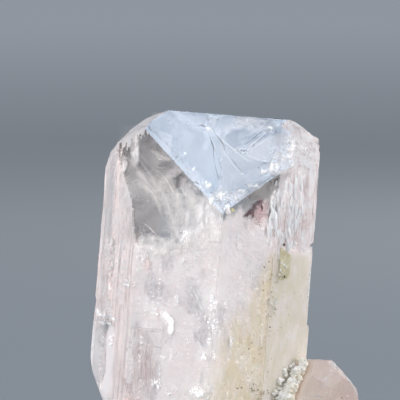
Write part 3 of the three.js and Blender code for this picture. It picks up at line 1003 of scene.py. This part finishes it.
crack_piece("window_creases", "white_crack", (0.5, 0.5), [
    (under_left, CRESCENT[1:], 0.4),
    (under_left, INNER_CRESCENT[1:4], 0.3),
    (under_left, OUTER_CRESCENT[:4], 0.25, 0.4),
    (under_left, [(-8.8, 36.8), (-6.8, 36.2), (-4.8, 37.2)], 0.3, 0.7, 1.5),
    (under_left, [(-7.9, 37.9), (-6.9, 37.4), (-5.5, 38.4)], 0.25, 0.7, 1.5),
    (under_left, [(-9.3, 28.6), (-7.6, 27.6), (-6.3, 26.4)], 0.3, 0.7, 1.5),
    (under_left, [(-5.0, 30.5), (-4.0, 28.0), (-3.2, 25.5)], 0.45, 0.6, 0.8),
    (under_left, WINDOW_LEDGE, 0.5, 0.3),
    (under_left, [(-9.2, 24.9), (-7.4, 25.2), (-5.6, 25.0)], 0.45, 0.3),
    (under_left, [(-4.4, 34.2), (-3.3, 33.1), (-2.3, 31.6)], 0.4, 0.6, 0.8),
])
for name, finish, under, *shape in (
    ("window_haze", "window_haze", under_left, (-6.6, 1.9, 21.5, 36.5), 0.6, (-0.9, 29.8), (5.4, 6.8)),
    # Painted shade: a grey sheet that stands in for the dark seen through the lower window
    ("lower_haze", "smooth_veil", under_left, (-11.0, -2.5, 22.5, 35.0), 1.3, (-7.0, 29.5), (5.4, 6.0)),
    ("band_haze", "faint_haze", under_left, (-13.0, -8.0, 25.0, 37.5), 0.8, (-12.7, 30.0), (2.6, 9.0)),
    ("ledge_haze", "window_haze", under_left, (-10.6, -2.4, 23.8, 27.2), 0.35, (-6.6, 25.3), (4.4, 1.6)),
    ("upright_streak", "window_haze", under_left, (-11.9, -9.7, 34.2, 41.4), 0.3, (-10.8, 38.2), (0.9, 3.2)),
    ("side_streak", "window_haze", under_left, (-12.8, -11.4, 33.8, 37.4), 0.3, (-12.2, 35.8), (0.5, 1.6)),
    # Painted shade: the next three are grey sheets that stand in for the dark seen through the window, the
    # roof and the right window
    ("window_veil", "smooth_veil", under_left, (-13.4, 1.5, 25.4, 41.8), 0.9, (-8.8, 35.6), (6.6, 9.4)),
    ("roof_veil", "smooth_veil", under_roof, (-9.0, 5.0, 32.4, 43.9), 0.5, (-2.6, 39.4), (8.0, 8.0)),
    ("right_veil", "dark_veil", under_right, (2.6, 9.6, 31.0, 38.6), 0.3, (6.4, 34.9), (4.2, 3.2)),
    ("low_shade", "streaky_shade", under_left, (-11.6, -3.0, 2.4, 13.8), 0.3, (-8.8, 8.4), (4.6, 6.6)),
    ("front_haze", "window_haze", under_right, (4.1, 10.5, 26.0, 33.5), 0.8, (6.5, 27.5), (6.0, 5.2)),
    ("screen_haze", "window_haze", under_right, (4.3, 10.0, 28.5, 34.5), 2.6, (7.0, 30.8), (3.0, 2.8)),
    # Painted shade: the next two are grey sheets for darker strips along the roof's ridge
    ("ridge_band", "grey_haze", under_roof, (-1.5, 0.7, 41.4, 44.0), 0.25, (-0.4, 43.4), (1.2, 2.2)),
    ("ridge_strip", "grey_haze", under_roof, (2.2, 9.0, 41.0, 44.0), 0.25, (5.8, 43.7), (4.2, 2.4)),
    ("foot_blush", "blush_haze", under_left, (-11.2, -6.2, 1.2, 4.6), 0.1, (-8.7, 2.9), (2.6, 1.5)),
    ("red_blush", "blush_haze", under_left, (-9.0, -6.9, 20.8, 24.0), 0.1, (-7.9, 22.5), (0.8, 1.4)),
    ("band_blush", "blush_haze", under_skin, (12.5, 14.3, 28.2, 32.0), -0.02, (13.4, 30.1), (0.8, 1.8)),
    ("pink_inclusion", "pink_mineral", under_right, (5.2, 9.2, 28.6, 34.4), 0.28, (7.4, 31.3), (1.5, 2.4)),
):
    haze_piece(name, finish, under, *shape)

SPARK = (-1.0, 42.1)
crack_piece("roof_cracks", "faint_crack", (0.3, 0.6), [
    (under_roof, [SPARK, (1.5, 40.6), (3.7, 39.1), (7.4, 37.2)], 0.34),
    (under_roof, [SPARK, (-0.2, 40.8), (0.4, 39.1), (2.3, 35.8)], 0.22),
    (under_roof, [(4.2, 39.7), (5.9, 41.2), (7.9, 43.0)], 0.22),
    (under_roof, [(4.9, 39.5), (6.5, 40.9), (8.4, 42.5)], 0.22),
    (under_roof, [(0.6, 40.2), (2.6, 38.0), (4.6, 35.6)], 0.16),
    (under_roof, [(4.0, 39.4), (6.4, 38.6), (8.8, 38.4)], 0.3),
])
crack_piece("roof_hairlines", "dark_crack", (-0.02, 0.0), [
    (under_roof, [(-2.6, 42.3), (-1.8, 42.5), (-1.2, 42.2)], 0.3),
    (under_roof, [(-0.2, 41.8), (0.9, 40.6), (1.8, 39.3)], 0.3),
    (under_roof, [(-0.6, 41.0), (-0.1, 39.6), (0.1, 38.2)], 0.28),
    (under_roof, [(0.1, 38.2), (0.7, 36.4), (1.3, 34.6)], 0.14),
    (under_roof, [(3.9, 39.9), (5.6, 41.5), (7.4, 43.0)], 0.2),
    (under_roof, [(4.6, 39.6), (6.2, 41.1), (8.1, 42.7)], 0.16),
    (under_roof, [(3.4, 39.7), (4.2, 39.5), (5.0, 39.6)], 0.3),
    (under_roof, [(6.6, 38.0), (7.2, 38.1), (7.8, 38.0)], 0.25),
    (under_roof, [(-1.2, 43.9), (-1.1, 43.2), (-1.0, 42.6)], 0.3),
    (under_roof, [(0.3, 43.9), (0.3, 43.2), (0.3, 42.6)], 0.25),
    (under_roof, [(2.0, 39.1), (3.4, 37.5), (5.2, 35.9)], 0.12),
    (under_roof, [(-0.8, 41.5), (-0.3, 40.2), (0.9, 38.0), (1.8, 35.4)], 0.12),
    (under_left, [(-8.1, 24.0), (-8.2, 23.4), (-8.0, 22.8)], 0.2, 0.05),
])

# White clouds close under the front: the middle's x and z, the half width and the half height
WHITE_CLOUDS = (
    (1.6, 19.0, 0.9, 1.3), (1.7, 16.4, 1.0, 1.0), (2.2, 14.6, 0.8, 0.8), (2.2, 11.0, 0.7, 1.2),
    (1.5, 9.7, 0.5, 0.7), (0.4, 5.9, 2.2, 1.2), (2.2, 6.5, 1.1, 1.0), (-5.4, 6.5, 1.1, 0.8),
    (-2.9, 5.8, 0.9, 0.4), (-2.4, 27.8, 1.1, 1.4), (-10.8, 19.8, 1.2, 1.4), (-8.7, 24.0, 1.1, 1.5),
    (-8.0, 25.0, 1.6, 0.8), (-13.8, 14.5, 1.2, 1.0), (-7.7, 15.9, 0.5, 1.1), (10.2, 37.6, 1.3, 1.3),
    (4.5, 13.2, 0.6, 1.4), (8.7, 33.4, 0.6, 2.2), (9.4, 29.4, 0.6, 1.8), (-1.6, 12.6, 0.6, 1.0),
    (-3.4, 18.4, 0.5, 1.4), (-12.2, 22.6, 0.5, 2.4), (12.4, 40.6, 0.9, 0.6), (11.4, 33.0, 0.5, 2.2),
    (14.0, 24.6, 1.0, 1.3), (12.8, 22.6, 1.0, 0.9), (13.9, 12.6, 0.7, 1.6), (12.2, 27.4, 0.9, 0.8),
)
# Smudges and frosted bruises in the roof face and on the left ledge, given in the same way; the bruises'
# frost has a strong painted glow as their highlight
ROOF_SMUDGES = (
    (10.0, 38.7, 2.2, 1.6), (10.6, 41.4, 1.3, 1.5), (5.8, 35.0, 2.0, 0.7), (9.0, 36.9, 1.4, 0.7),
    (3.6, 39.5, 1.1, 0.3), (3.0, 33.3, 1.4, 0.8), (4.4, 34.2, 1.2, 0.6), (8.6, 39.2, 1.2, 1.0),
)
BRUISES = (
    (8.5, 37.7, 1.3, 1.2), (10.6, 39.4, 0.9, 0.7), (7.2, 37.0, 0.8, 0.6), (10.9, 40.6, 0.9, 0.9),
    (1.4, 33.5, 1.6, 1.1), (-0.4, 34.6, 0.8, 0.8), (0.3, 32.9, 0.8, 0.9), (-0.95, 42.1, 0.7, 0.6),
    (7.7, 42.9, 0.9, 0.45), (-14.2, 15.2, 0.9, 0.9), (-13.1, 14.8, 1.0, 0.8), (-12.2, 14.4, 0.8, 0.5),
)
SPOT_ROWS = 12


def cloud_spot(x, z, half_width, half_height, depth):
    """A small feathered oval just under the skin."""
    points, thickness = [], []
    for i in range(SPOT_ROWS):
        for j in range(SPOT_ROWS):
            across, up = 2 * i / (SPOT_ROWS - 1) - 1, 2 * j / (SPOT_ROWS - 1) - 1
            spot = (x + half_width * across, z + half_height * up)
            ragged = smooth_noise(Vector((spot[0] * 2.4, spot[1] * 2.4, 1.0)))
            points.append(under_skin(*spot, depth))
            thickness.append(float(1 - ease(math.hypot(across, up) + 0.5 * ragged, 0.15, 0.8)))
    return points, grid_faces(SPOT_ROWS, SPOT_ROWS), thickness


for name, finish, spots, depth in (
    ("white_clouds", "white_cloud", WHITE_CLOUDS, 0.12),
    ("roof_smudges", "white_cloud", ROOF_SMUDGES, -0.02),
    ("bruises", "frost", BRUISES, -0.03),
):
    sheet_piece(name, [cloud_spot(*spot, depth) for spot in spots], finish)

# The flash in the milk: a white crack with a painted glow
FLASH = [(-5.3, 17.0), (-4.7, 15.9), (-3.95, 14.6), (-3.95, 12.8)]
crack_piece("milk_flash", "flash_crack", (0.2, 0.1), [
    (under_left, FLASH, 1.9),
    (under_left, FLASH[1:], 1.2, 0.15),
    (under_skin, [(-14.3, 13.9), (-13.4, 13.7), (-12.0, 13.5)], 0.8, -0.05),
])
crack_piece("gold_glint", "gold_glint", (0.2, 0.2), [
    (under_skin, [(2.9, 31.9), (3.2, 31.6), (3.5, 31.3)], 0.6),
])
crack_piece("milk_cracks", "white_crack", (0.3, 0.4), [
    (under_left, [(-8.6, 13.6), (-6.4, 13.9), (-4.6, 13.8)], 0.4),
    (under_left, [(-8.4, 11.3), (-6.7, 11.5), (-4.7, 11.2)], 0.4),
    (under_left, [(-2.4, 21.6), (-0.6, 19.0), (1.0, 15.8)], 0.35),
    (under_left, [(-9.6, 24.4), (-9.4, 21.9), (-9.7, 19.6)], 0.7, 0.3, 0.2),
    (under_right, [(4.2, 14.6), (4.5, 13.4), (4.4, 12.0)], 0.8, 0.2, 0.1),
    (under_right, [(8.6, 36.4), (8.4, 34.0), (9.0, 31.2)], 0.9, 0.3, 0.3),
    (under_right, [(10.3, 35.4), (9.9, 31.6), (9.4, 27.4)], 0.5, 0.1, 0.2),
    (under_right, [(9.0, 30.8), (9.2, 28.8), (9.6, 26.6)], 1.2, 0.3, 0.3),
    (under_skin, [(14.8, 25.6), (14.8, 21.5), (14.7, 16.2)], 0.3, -0.02, 0.0),
])
# The first soft line, along the front edge, is painted shade where the two front faces meet; the rest are
# dark lines in the crystal
crack_piece("soft_lines", "soft_line", (0.25, 0.3), [
    (under_skin, [(1.8, 29.0), (1.95, 25.0), (2.05, 20.2)], 0.35, 0.2, 0.2),
    (under_left, [(-8.0, 13.2), (-6.2, 13.5), (-4.8, 13.3)], 0.25),
    (under_left, [(-9.6, 13.4), (-9.4, 11.2), (-9.6, 8.0)], 0.6),
    (under_left, [(-8.4, 12.4), (-8.2, 10.6), (-8.4, 9.4)], 0.5),
    (under_left, [(-7.0, 11.0), (-6.8, 9.6), (-7.4, 8.4)], 0.6),
    (under_left, [(-8.4, 25.4), (-7.8, 23.8), (-8.0, 22.4)], 0.35),
    (under_right, [(5.4, 31.0), (5.3, 29.6), (5.7, 28.2)], 0.5),
    (under_right, [(4.4, 29.6), (4.0, 27.4), (4.7, 25.4)], 0.3),
])
crack_piece("red_inclusion", "red_mineral", (0.1, 0.2), [
    (under_right, [(4.6, 30.4), (5.7, 31.4), (6.7, 32.5), (7.8, 33.5)], 1.3, 0.12),
    (under_right, [(4.8, 30.7), (5.5, 31.3), (6.3, 32.0)], 1.2),
    (under_right, [(6.0, 32.2), (6.1, 31.2), (5.9, 30.0)], 0.6),
    (under_right, [(7.0, 33.0), (7.3, 32.0), (7.2, 31.2)], 0.4),
    (under_right, [(8.3, 33.0), (8.5, 31.8), (8.2, 30.4)], 0.35),
])
crack_piece("rose_cracks", "faint_crack", (0.0, 0.3), [
    (under_rose, [(17.2, 8.2), (18.3, 9.2), (19.7, 10.5)], 0.3),
    (under_rose, [(17.5, 7.4), (18.3, 8.3), (18.8, 9.4)], 0.2),
    (under_rose, [(15.6, 6.2), (16.8, 6.4), (18.2, 6.4)], 0.35),
    (under_rose, [(18.4, 11.0), (19.3, 10.7), (19.9, 10.0)], 0.6),
    (under_rose, [(19.9, 10.2), (21.1, 9.2), (22.4, 7.4), (22.9, 5.6)], 0.45),
])


# What repeats is scattered over small patches laid under the faces
def shards_recipe(graph, carrier, count, smallest, largest, length, flatness, roundness, turn, seed, finish):
    """Shards of random size and turn, strewn over a carrier and made a little jagged."""
    strewing = {"Mesh": carrier, "Density": graph.times(count, 1 / MM ** 2), "Seed": seed}
    spread = graph.node("GeometryNodeDistributePointsOnFaces", strewing)
    shard = graph.node("GeometryNodeMeshIcoSphere", {"Radius": 0.5 * MM, "Subdivisions": roundness})
    limits = {2: smallest, 3: largest, "Seed": seed}
    size = graph.node("FunctionNodeRandomValue", limits, data_type="FLOAT").outputs[1]
    least = graph.times(turn, -1.0)
    limits = {0: graph.join(least, least, least), 1: graph.join(turn, turn, turn), "Seed": seed}
    turned = graph.node("FunctionNodeRandomValue", limits, data_type="FLOAT_VECTOR").outputs[0]
    placed = graph.node("GeometryNodeInstanceOnPoints", {
        "Points": spread.outputs["Points"],
        "Instance": shard.outputs["Mesh"],
        "Scale": graph.vector("SCALE", graph.join(1.0, length, flatness), size),
        "Rotation": turned,
    })
    real = graph.node("GeometryNodeRealizeInstances", {0: placed.outputs[0]}).outputs[0]
    place = graph.node("GeometryNodeInputPosition", {}).outputs[0]
    rough = graph.node("ShaderNodeTexNoise", {"Vector": place, "Scale": 1.4 / MM, "Detail": 1.0})
    centred = graph.vector("SUBTRACT", rough.outputs["Color"], (0.5, 0.5, 0.5))
    jagged = graph.vector("SCALE", centred, graph.times(largest, 0.7 * MM))
    bent = graph.node("GeometryNodeSetPosition", {"Geometry": real, "Offset": jagged}).outputs[0]
    finished = graph.node("GeometryNodeSetMaterial", {"Geometry": bent, "Material": finish})
    return {"Geometry": finished.outputs[0]}


scattered_shards = new_tree(
    "scattered_shards", "GeometryNodeTree", shards_recipe,
    Per_square_mm=1.0, Smallest_mm=0.1, Largest_mm=0.4, Length=1.0, Flatness=0.5,
    Roundness=1, Turn=math.pi, Seed=3, Finish=None,
)
PATCH_ROWS = 16


def patch(name, under, corners, depth, wave=0.0, bulge=0.0):
    """A four-cornered patch under a face, its corners given as (x, z) points in turn."""
    first, second, third, fourth = (Vector(corner) for corner in corners)
    points = []
    for i in range(PATCH_ROWS):
        for j in range(PATCH_ROWS):
            along, up = i / (PATCH_ROWS - 1), j / (PATCH_ROWS - 1)
            spot = first.lerp(second, along).lerp(fourth.lerp(third, along), up)
            uneven = wave * smooth_noise(Vector((spot.x, spot.y, depth)))
            swell = bulge * (math.sin(math.pi * along) * math.sin(math.pi * up)) ** 0.3
            points.append(under(spot.x, spot.y, depth + uneven - swell))
    return link_mesh(name, mesh_of(name, points, grid_faces(PATCH_ROWS, PATCH_ROWS), smooth=bulge > 0))


def strewn(carrier, finish, slot, **sizes):
    """Shards in place of the patch that carries them."""
    return finish_piece(use_tree(carrier, scattered_shards, Finish=finishes[finish], **sizes), slot)


def glint_spots(name, glints):
    """A small quad a little under the skin for every glint."""
    points = []
    for x, z, width, height in glints:
        turn = 0.25 * width * math.sin(9 * x + 5 * z)
        corners = [(side * width / 2, end * height / 2) for side, end in ((-1, -1), (1, -1), (1, 1), (-1, 1))]
        points += [under_skin(x + dx - turn * dz / height, z + dz, 0.15) for dx, dz in corners]
    faces = [tuple(range(4 * i, 4 * i + 4)) for i in range(len(glints))]
    return link_mesh(name, mesh_of(name, points, faces))


# Bright glints, white shards with a painted glow: the middle's x and z, the width and the height of each
ROOF_GLINTS = (
    (-0.95, 42.0, 0.5, 0.6), (-0.5, 34.7, 0.6, 0.9), (1.6, 33.3, 1.4, 1.0), (0.2, 32.4, 0.6, 0.8),
    (-4.0, 38.5, 0.35, 0.5), (-2.6, 36.6, 0.4, 0.5), (2.5, 31.9, 0.8, 0.8),
)
MILK_GLINTS = (
    (1.5, 18.1, 1.0, 1.3), (1.0, 16.2, 0.7, 0.9), (2.6, 14.4, 0.8, 0.9), (0.9, 11.0, 0.7, 1.4),
    (0.5, 6.0, 1.1, 1.5), (0.4, 5.9, 2.4, 1.0), (-5.4, 6.4, 1.1, 1.2), (-3.1, 27.2, 1.1, 1.5),
    (-0.9, 28.2, 0.6, 0.5), (-6.2, 16.2, 0.8, 1.1), (1.9, 15.3, 0.5, 0.6), (-9.4, 19.7, 0.9, 0.6),
    (1.4, 13.2, 0.7, 0.8), (-2.9, 24.0, 0.5, 0.5), (-9.3, 23.6, 0.5, 1.2), (-10.6, 19.6, 0.5, 0.9),
    (-12.9, 18.5, 0.45, 1.5), (-12.2, 11.4, 0.4, 1.5), (-4.0, 9.9, 1.6, 0.4), (-3.6, 5.3, 1.1, 0.4),
)
GLINT_SIZES = {"Per_square_mm": 9.0, "Smallest_mm": 0.1, "Largest_mm": 0.5, "Length": 0.8, "Flatness": 0.4}
strewn(glint_spots("roof_glints", ROOF_GLINTS), "flash_fleck", "milky_pink_crystal", **GLINT_SIZES)
strewn(glint_spots("milk_glints", MILK_GLINTS), "flash_fleck", "milky_pink_crystal", **GLINT_SIZES)

FRONT_LEFT_MILK = [(-13.5, 2.0), (1.6, 2.0), (1.6, 28.5), (-12.0, 25.0)]
FRONT_RIGHT_MILK = [(4.2, 3.0), (10.0, 3.0), (9.0, 29.0), (4.2, 30.0)]
FINE = {"Length": 0.5, "Flatness": 0.35}
LUMP = {"Length": 0.9, "Flatness": 0.75}
# Each patch of shards: its name, finish, face and corners, its depth and wave, how many there are to a
# square millimetre, the smallest and the largest in millimetres, and what else sets them apart
FRONT_SHARDS = (
    ("left_flecks", "bright_fleck", under_left, FRONT_LEFT_MILK, 0.28, 0.1, 1.1, 0.07, 0.34, FINE),
    ("right_flecks", "bright_fleck", under_right, FRONT_RIGHT_MILK, 0.28, 0.1, 0.7, 0.07, 0.34, FINE),
    ("roof_dots", "bright_fleck", under_roof, [(-7.0, 42.0), (0.6, 33.0), (4.0, 34.0), (8.0, 43.0)],
     0.15, 0.0, 0.22, 0.06, 0.26, {"Flatness": 0.4, "Seed": 9}),
    ("band_shards", "bright_fleck", under_skin, [(8.2, 26.8), (12.6, 26.8), (13.4, 37.0), (8.8, 35.5)],
     -0.02, 0.0, 1.3, 0.1, 0.5, {"Length": 0.4, "Flatness": 4.5, "Turn": 0.15, "Seed": 5}),
    ("corner_shards", "bright_fleck", under_skin, [(9.6, 37.4), (13.8, 36.6), (13.8, 40.0), (9.8, 43.2)],
     -0.04, 0.0, 2.6, 0.1, 0.5, {"Length": 0.6, "Flatness": 0.3, "Seed": 6}),
    ("left_shards", "bright_fleck", under_skin, [(-14.2, 14.0), (-10.6, 14.0), (-11.2, 33.0), (-13.2, 33.0)],
     -0.02, 0.0, 0.9, 0.06, 0.26, {"Length": 0.5, "Flatness": 3.0, "Turn": 0.3, "Seed": 8}),
    ("ledge_crystals", "bright_fleck", under_skin,
     [(-14.5, 13.7), (-12.2, 13.5), (-12.8, 15.6), (-14.2, 15.8)],
     -0.02, 0.0, 5.0, 0.1, 0.35, {"Flatness": 0.6, "Seed": 2}),
    ("red_grains", "red_grain", under_right, [(4.9, 31.0), (5.6, 30.9), (7.6, 33.2), (6.8, 33.4)],
     0.35, 0.1, 4.0, 0.15, 0.4, {"Flatness": 0.6}),
)
SEAM_GRAINS = (
    ("plug_grains", "pale_matrix", under_skin, [(10.2, 22.3), (11.3, 22.3), (11.5, 24.4), (10.6, 24.9)],
     -0.22, 0.05, 6.0, 0.1, 0.45, {"Roundness": 2, "Seed": 3}),
    ("clay_trail", "ochre_clay", under_skin, [(7.6, 3.0), (9.6, 3.0), (10.6, 22.4), (9.6, 22.4)],
     0.02, 0.0, 1.4, 0.1, 0.36, {"Roundness": 2}),
    ("brown_specks", "brown_speck", under_skin, [(4.6, 3.0), (10.4, 3.0), (10.9, 23.0), (8.8, 24.0)],
     0.0, 0.0, 0.45, 0.08, 0.28, {"Length": 1.3}),
    ("white_grit", "pale_matrix", under_skin, [(9.3, 17.0), (10.5, 17.0), (10.8, 20.4), (9.8, 20.8)],
     0.0, 0.0, 8.0, 0.12, 0.45, {"Flatness": 0.6, "Seed": 4}),
    ("seam_grains", "pale_matrix", under_skin, [(9.7, 2.8), (12.2, 2.8), (14.3, 11.0), (12.3, 9.8)],
     -0.15, 0.1, 6.5, 0.15, 0.75, {"Roundness": 2, "Seed": 7, **LUMP}),
    ("crust_grains", "pale_matrix", under_crust, [(12.2, 3.0), (14.4, 3.0), (15.9, 11.2), (14.6, 11.2)],
     -0.05, 0.1, 5.0, 0.15, 0.6, {"Seed": 12, **LUMP}),
    ("seam_clay", "ochre_clay", under_crust, [(13.8, 5.2), (14.4, 5.2), (15.8, 9.8), (15.3, 10.2)],
     -0.12, 0.05, 9.0, 0.15, 0.45, LUMP),
)
ROSE_SPECKS = (
    ("rose_specks", "red_grain", under_rose, [(17.6, 5.6), (21.6, 5.6), (20.4, 8.6), (18.4, 10.4)],
     0.0, 0.0, 0.4, 0.06, 0.26, {"Seed": 1}),
)
PLUG_CORNERS = [(10.3, 22.0), (11.9, 22.2), (11.9, 25.6), (10.4, 26.7)]


def strew_patches(rows, slot):
    for name, finish, under, corners, depth, wave, count, smallest, largest, others in rows:
        sizes = {"Per_square_mm": count, "Smallest_mm": smallest, "Largest_mm": largest, **others}
        strewn(patch(name, under, corners, depth, wave), finish, slot, **sizes)


strew_patches(FRONT_SHARDS, "milky_pink_crystal")
plug = patch("clay_plug", under_skin, PLUG_CORNERS, 0.02, wave=0.12, bulge=0.22)
plug.data.materials.append(finishes["ochre_clay"])
finish_piece(plug, "matrix_grains")
strew_patches(SEAM_GRAINS, "matrix_grains")
strew_patches(ROSE_SPECKS, "rose_crystal")

# Black specks: the middle's x and z, the width and the depth of each
BLACK_SPECKS = (
    (10.8, 27.0, 0.3, -0.02), (11.2, 22.6, 0.26, -0.3), (8.3, 23.8, 0.2, -0.02), (8.9, 24.6, 0.15, -0.02),
)


def black_specks():
    """One small lumpy grain on the skin at every spot."""
    work = bmesh.new()
    for i, (x, z, width, depth) in enumerate(BLACK_SPECKS):
        ball = bmesh.ops.create_icosphere(work, subdivisions=2, radius=0.5 * width * MM)["verts"]
        middle = world(under_skin(x, z, depth))
        for vertex in ball:
            lump = 1 + 0.5 * smooth_noise(vertex.co / MM * 3 + Vector((i * 5.0, 0, 0)))
            vertex.co = middle + Vector((vertex.co.x, vertex.co.y * 0.5, vertex.co.z * 1.3)) * lump
    mesh = bmesh_to_mesh(work, bpy.data.meshes.new("black_specks"))
    mesh.materials.append(finishes["black_speck"])
    finish_piece(link_mesh("black_specks", mesh), "matrix_grains")


black_specks()


# The small dusty rose crystal and the pale grains in the seam beside it
def rose_skin():
    mesh = merged_copy("side_crystal", "rose_skin")
    refine(mesh, SKIN_EDGE)
    mesh.materials.append(rose_face)
    store(mesh, "striated", np.ones(len(mesh.vertices)))
    piece = link_mesh("rose_skin", mesh)
    return use_tree(piece, growth_lines, Depth=0.1 * MM, Lines_per_mm=0.8, Length_mm=2.5)


def sugary_crust():
    """The crust's grains with a rough, crystalline surface."""
    mesh = merged_copy("matrix_crust", "sugary_crust")
    refine(mesh, CRUST_EDGE)
    points = []
    for vertex in mesh.vertices:
        point = crystal(vertex.co)
        grown = 0.22 * smooth_noise(point * 1.9) + 0.14 * smooth_noise(point * 4.1) - 0.1
        over_floor = float(ease(vertex.co.z / MM, 0.0, 0.6))
        points.append(point + (lean_turn.transposed() @ vertex.normal) * grown * over_floor)
    set_points(mesh, np.array(points))
    mesh.materials.append(finishes["pale_matrix"])
    return link_mesh("sugary_crust", mesh)


rose = finish_piece(rose_skin(), "rose_crystal")
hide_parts("side_crystal")
crust = finish_piece(sugary_crust(), "matrix_grains")
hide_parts("matrix_crust")

# The studio: a floor painted darker near the middle as painted shade and pale further out, an overhead
# window, a broad key from the upper left, a soft fill and a rim
FLOOR_RADIUS = 8.0


def pale_floor():
    work = bmesh.new()
    bmesh.ops.create_circle(work, cap_ends=True, segments=96, radius=FLOOR_RADIUS)
    mesh = bmesh_to_mesh(work, bpy.data.meshes.new("floor"))
    finish = Finish("pale_floor")
    away = finish.node("ShaderNodeVectorMath", {0: finish.object_place()}, operation="LENGTH")
    # Painted shade: the floor is painted dark grey near the middle, where the lamps light it most, and pale
    # further out
    share = finish.ease(away.outputs["Value"], 0.0, 2.2)
    colour = finish.mix(share, (0.288, 0.307, 0.327), (0.9, 0.9, 0.91))
    mesh.materials.append(finish.close(Base_Color=colour, Roughness=0.9, Specular_IOR_Level=0.0))
    link_mesh("floor", mesh)


def soft_lamp(name, place, width, radiance, colour, aim=(0.0, 0.0, 22.0)):
    """A square lamp that shines with the given brightness seen face on."""
    data = bpy.data.lights.new(name, "AREA")
    data.shape = "SQUARE"
    data.size = width * MM
    data.color = colour
    data.energy = radiance * math.pi * (width * MM) ** 2
    lamp = bpy.data.objects.new(name, data)
    lamp.location = Vector(place) * MM
    lamp.rotation_euler = (Vector(aim) - Vector(place)).to_track_quat("-Z", "Y").to_euler()
    bpy.context.scene.collection.objects.link(lamp)


def studio():
    pale_floor()
    soft_lamp("overhead_window", (60, -15, 735), 190, 8.15, (0.66, 0.8, 1.0), aim=(0.0, -6.0, 38.0))
    soft_lamp("key", (-690, -420, 330), 450, 7.0, (1.0, 0.985, 0.975))
    soft_lamp("fill", (700, -400, 220), 430, 6.5, (1.0, 0.98, 0.97))
    soft_lamp("rim", (300, 500, 350), 300, 3.2, (1.0, 0.99, 0.98))
    surroundings = bpy.data.worlds.new("surroundings")
    surroundings.use_nodes = True
    sky = surroundings.node_tree.nodes["Background"]
    sky.inputs["Color"].default_value = (0.297, 0.332, 0.373, 1)
    sky.inputs["Strength"].default_value = 1.0
    bpy.context.scene.world = surroundings


def picture_settings():
    scene = bpy.context.scene
    scene.view_settings.view_transform = "Standard"
    scene.view_settings.look = "None"
    scene.cycles.use_denoising = True
    scene.cycles.max_bounces = 24
    scene.cycles.transmission_bounces = 20
    scene.cycles.transparent_max_bounces = 24
    scene.cycles.glossy_bounces = 8
    scene.cycles.diffuse_bounces = 4


studio()
picture_settings()
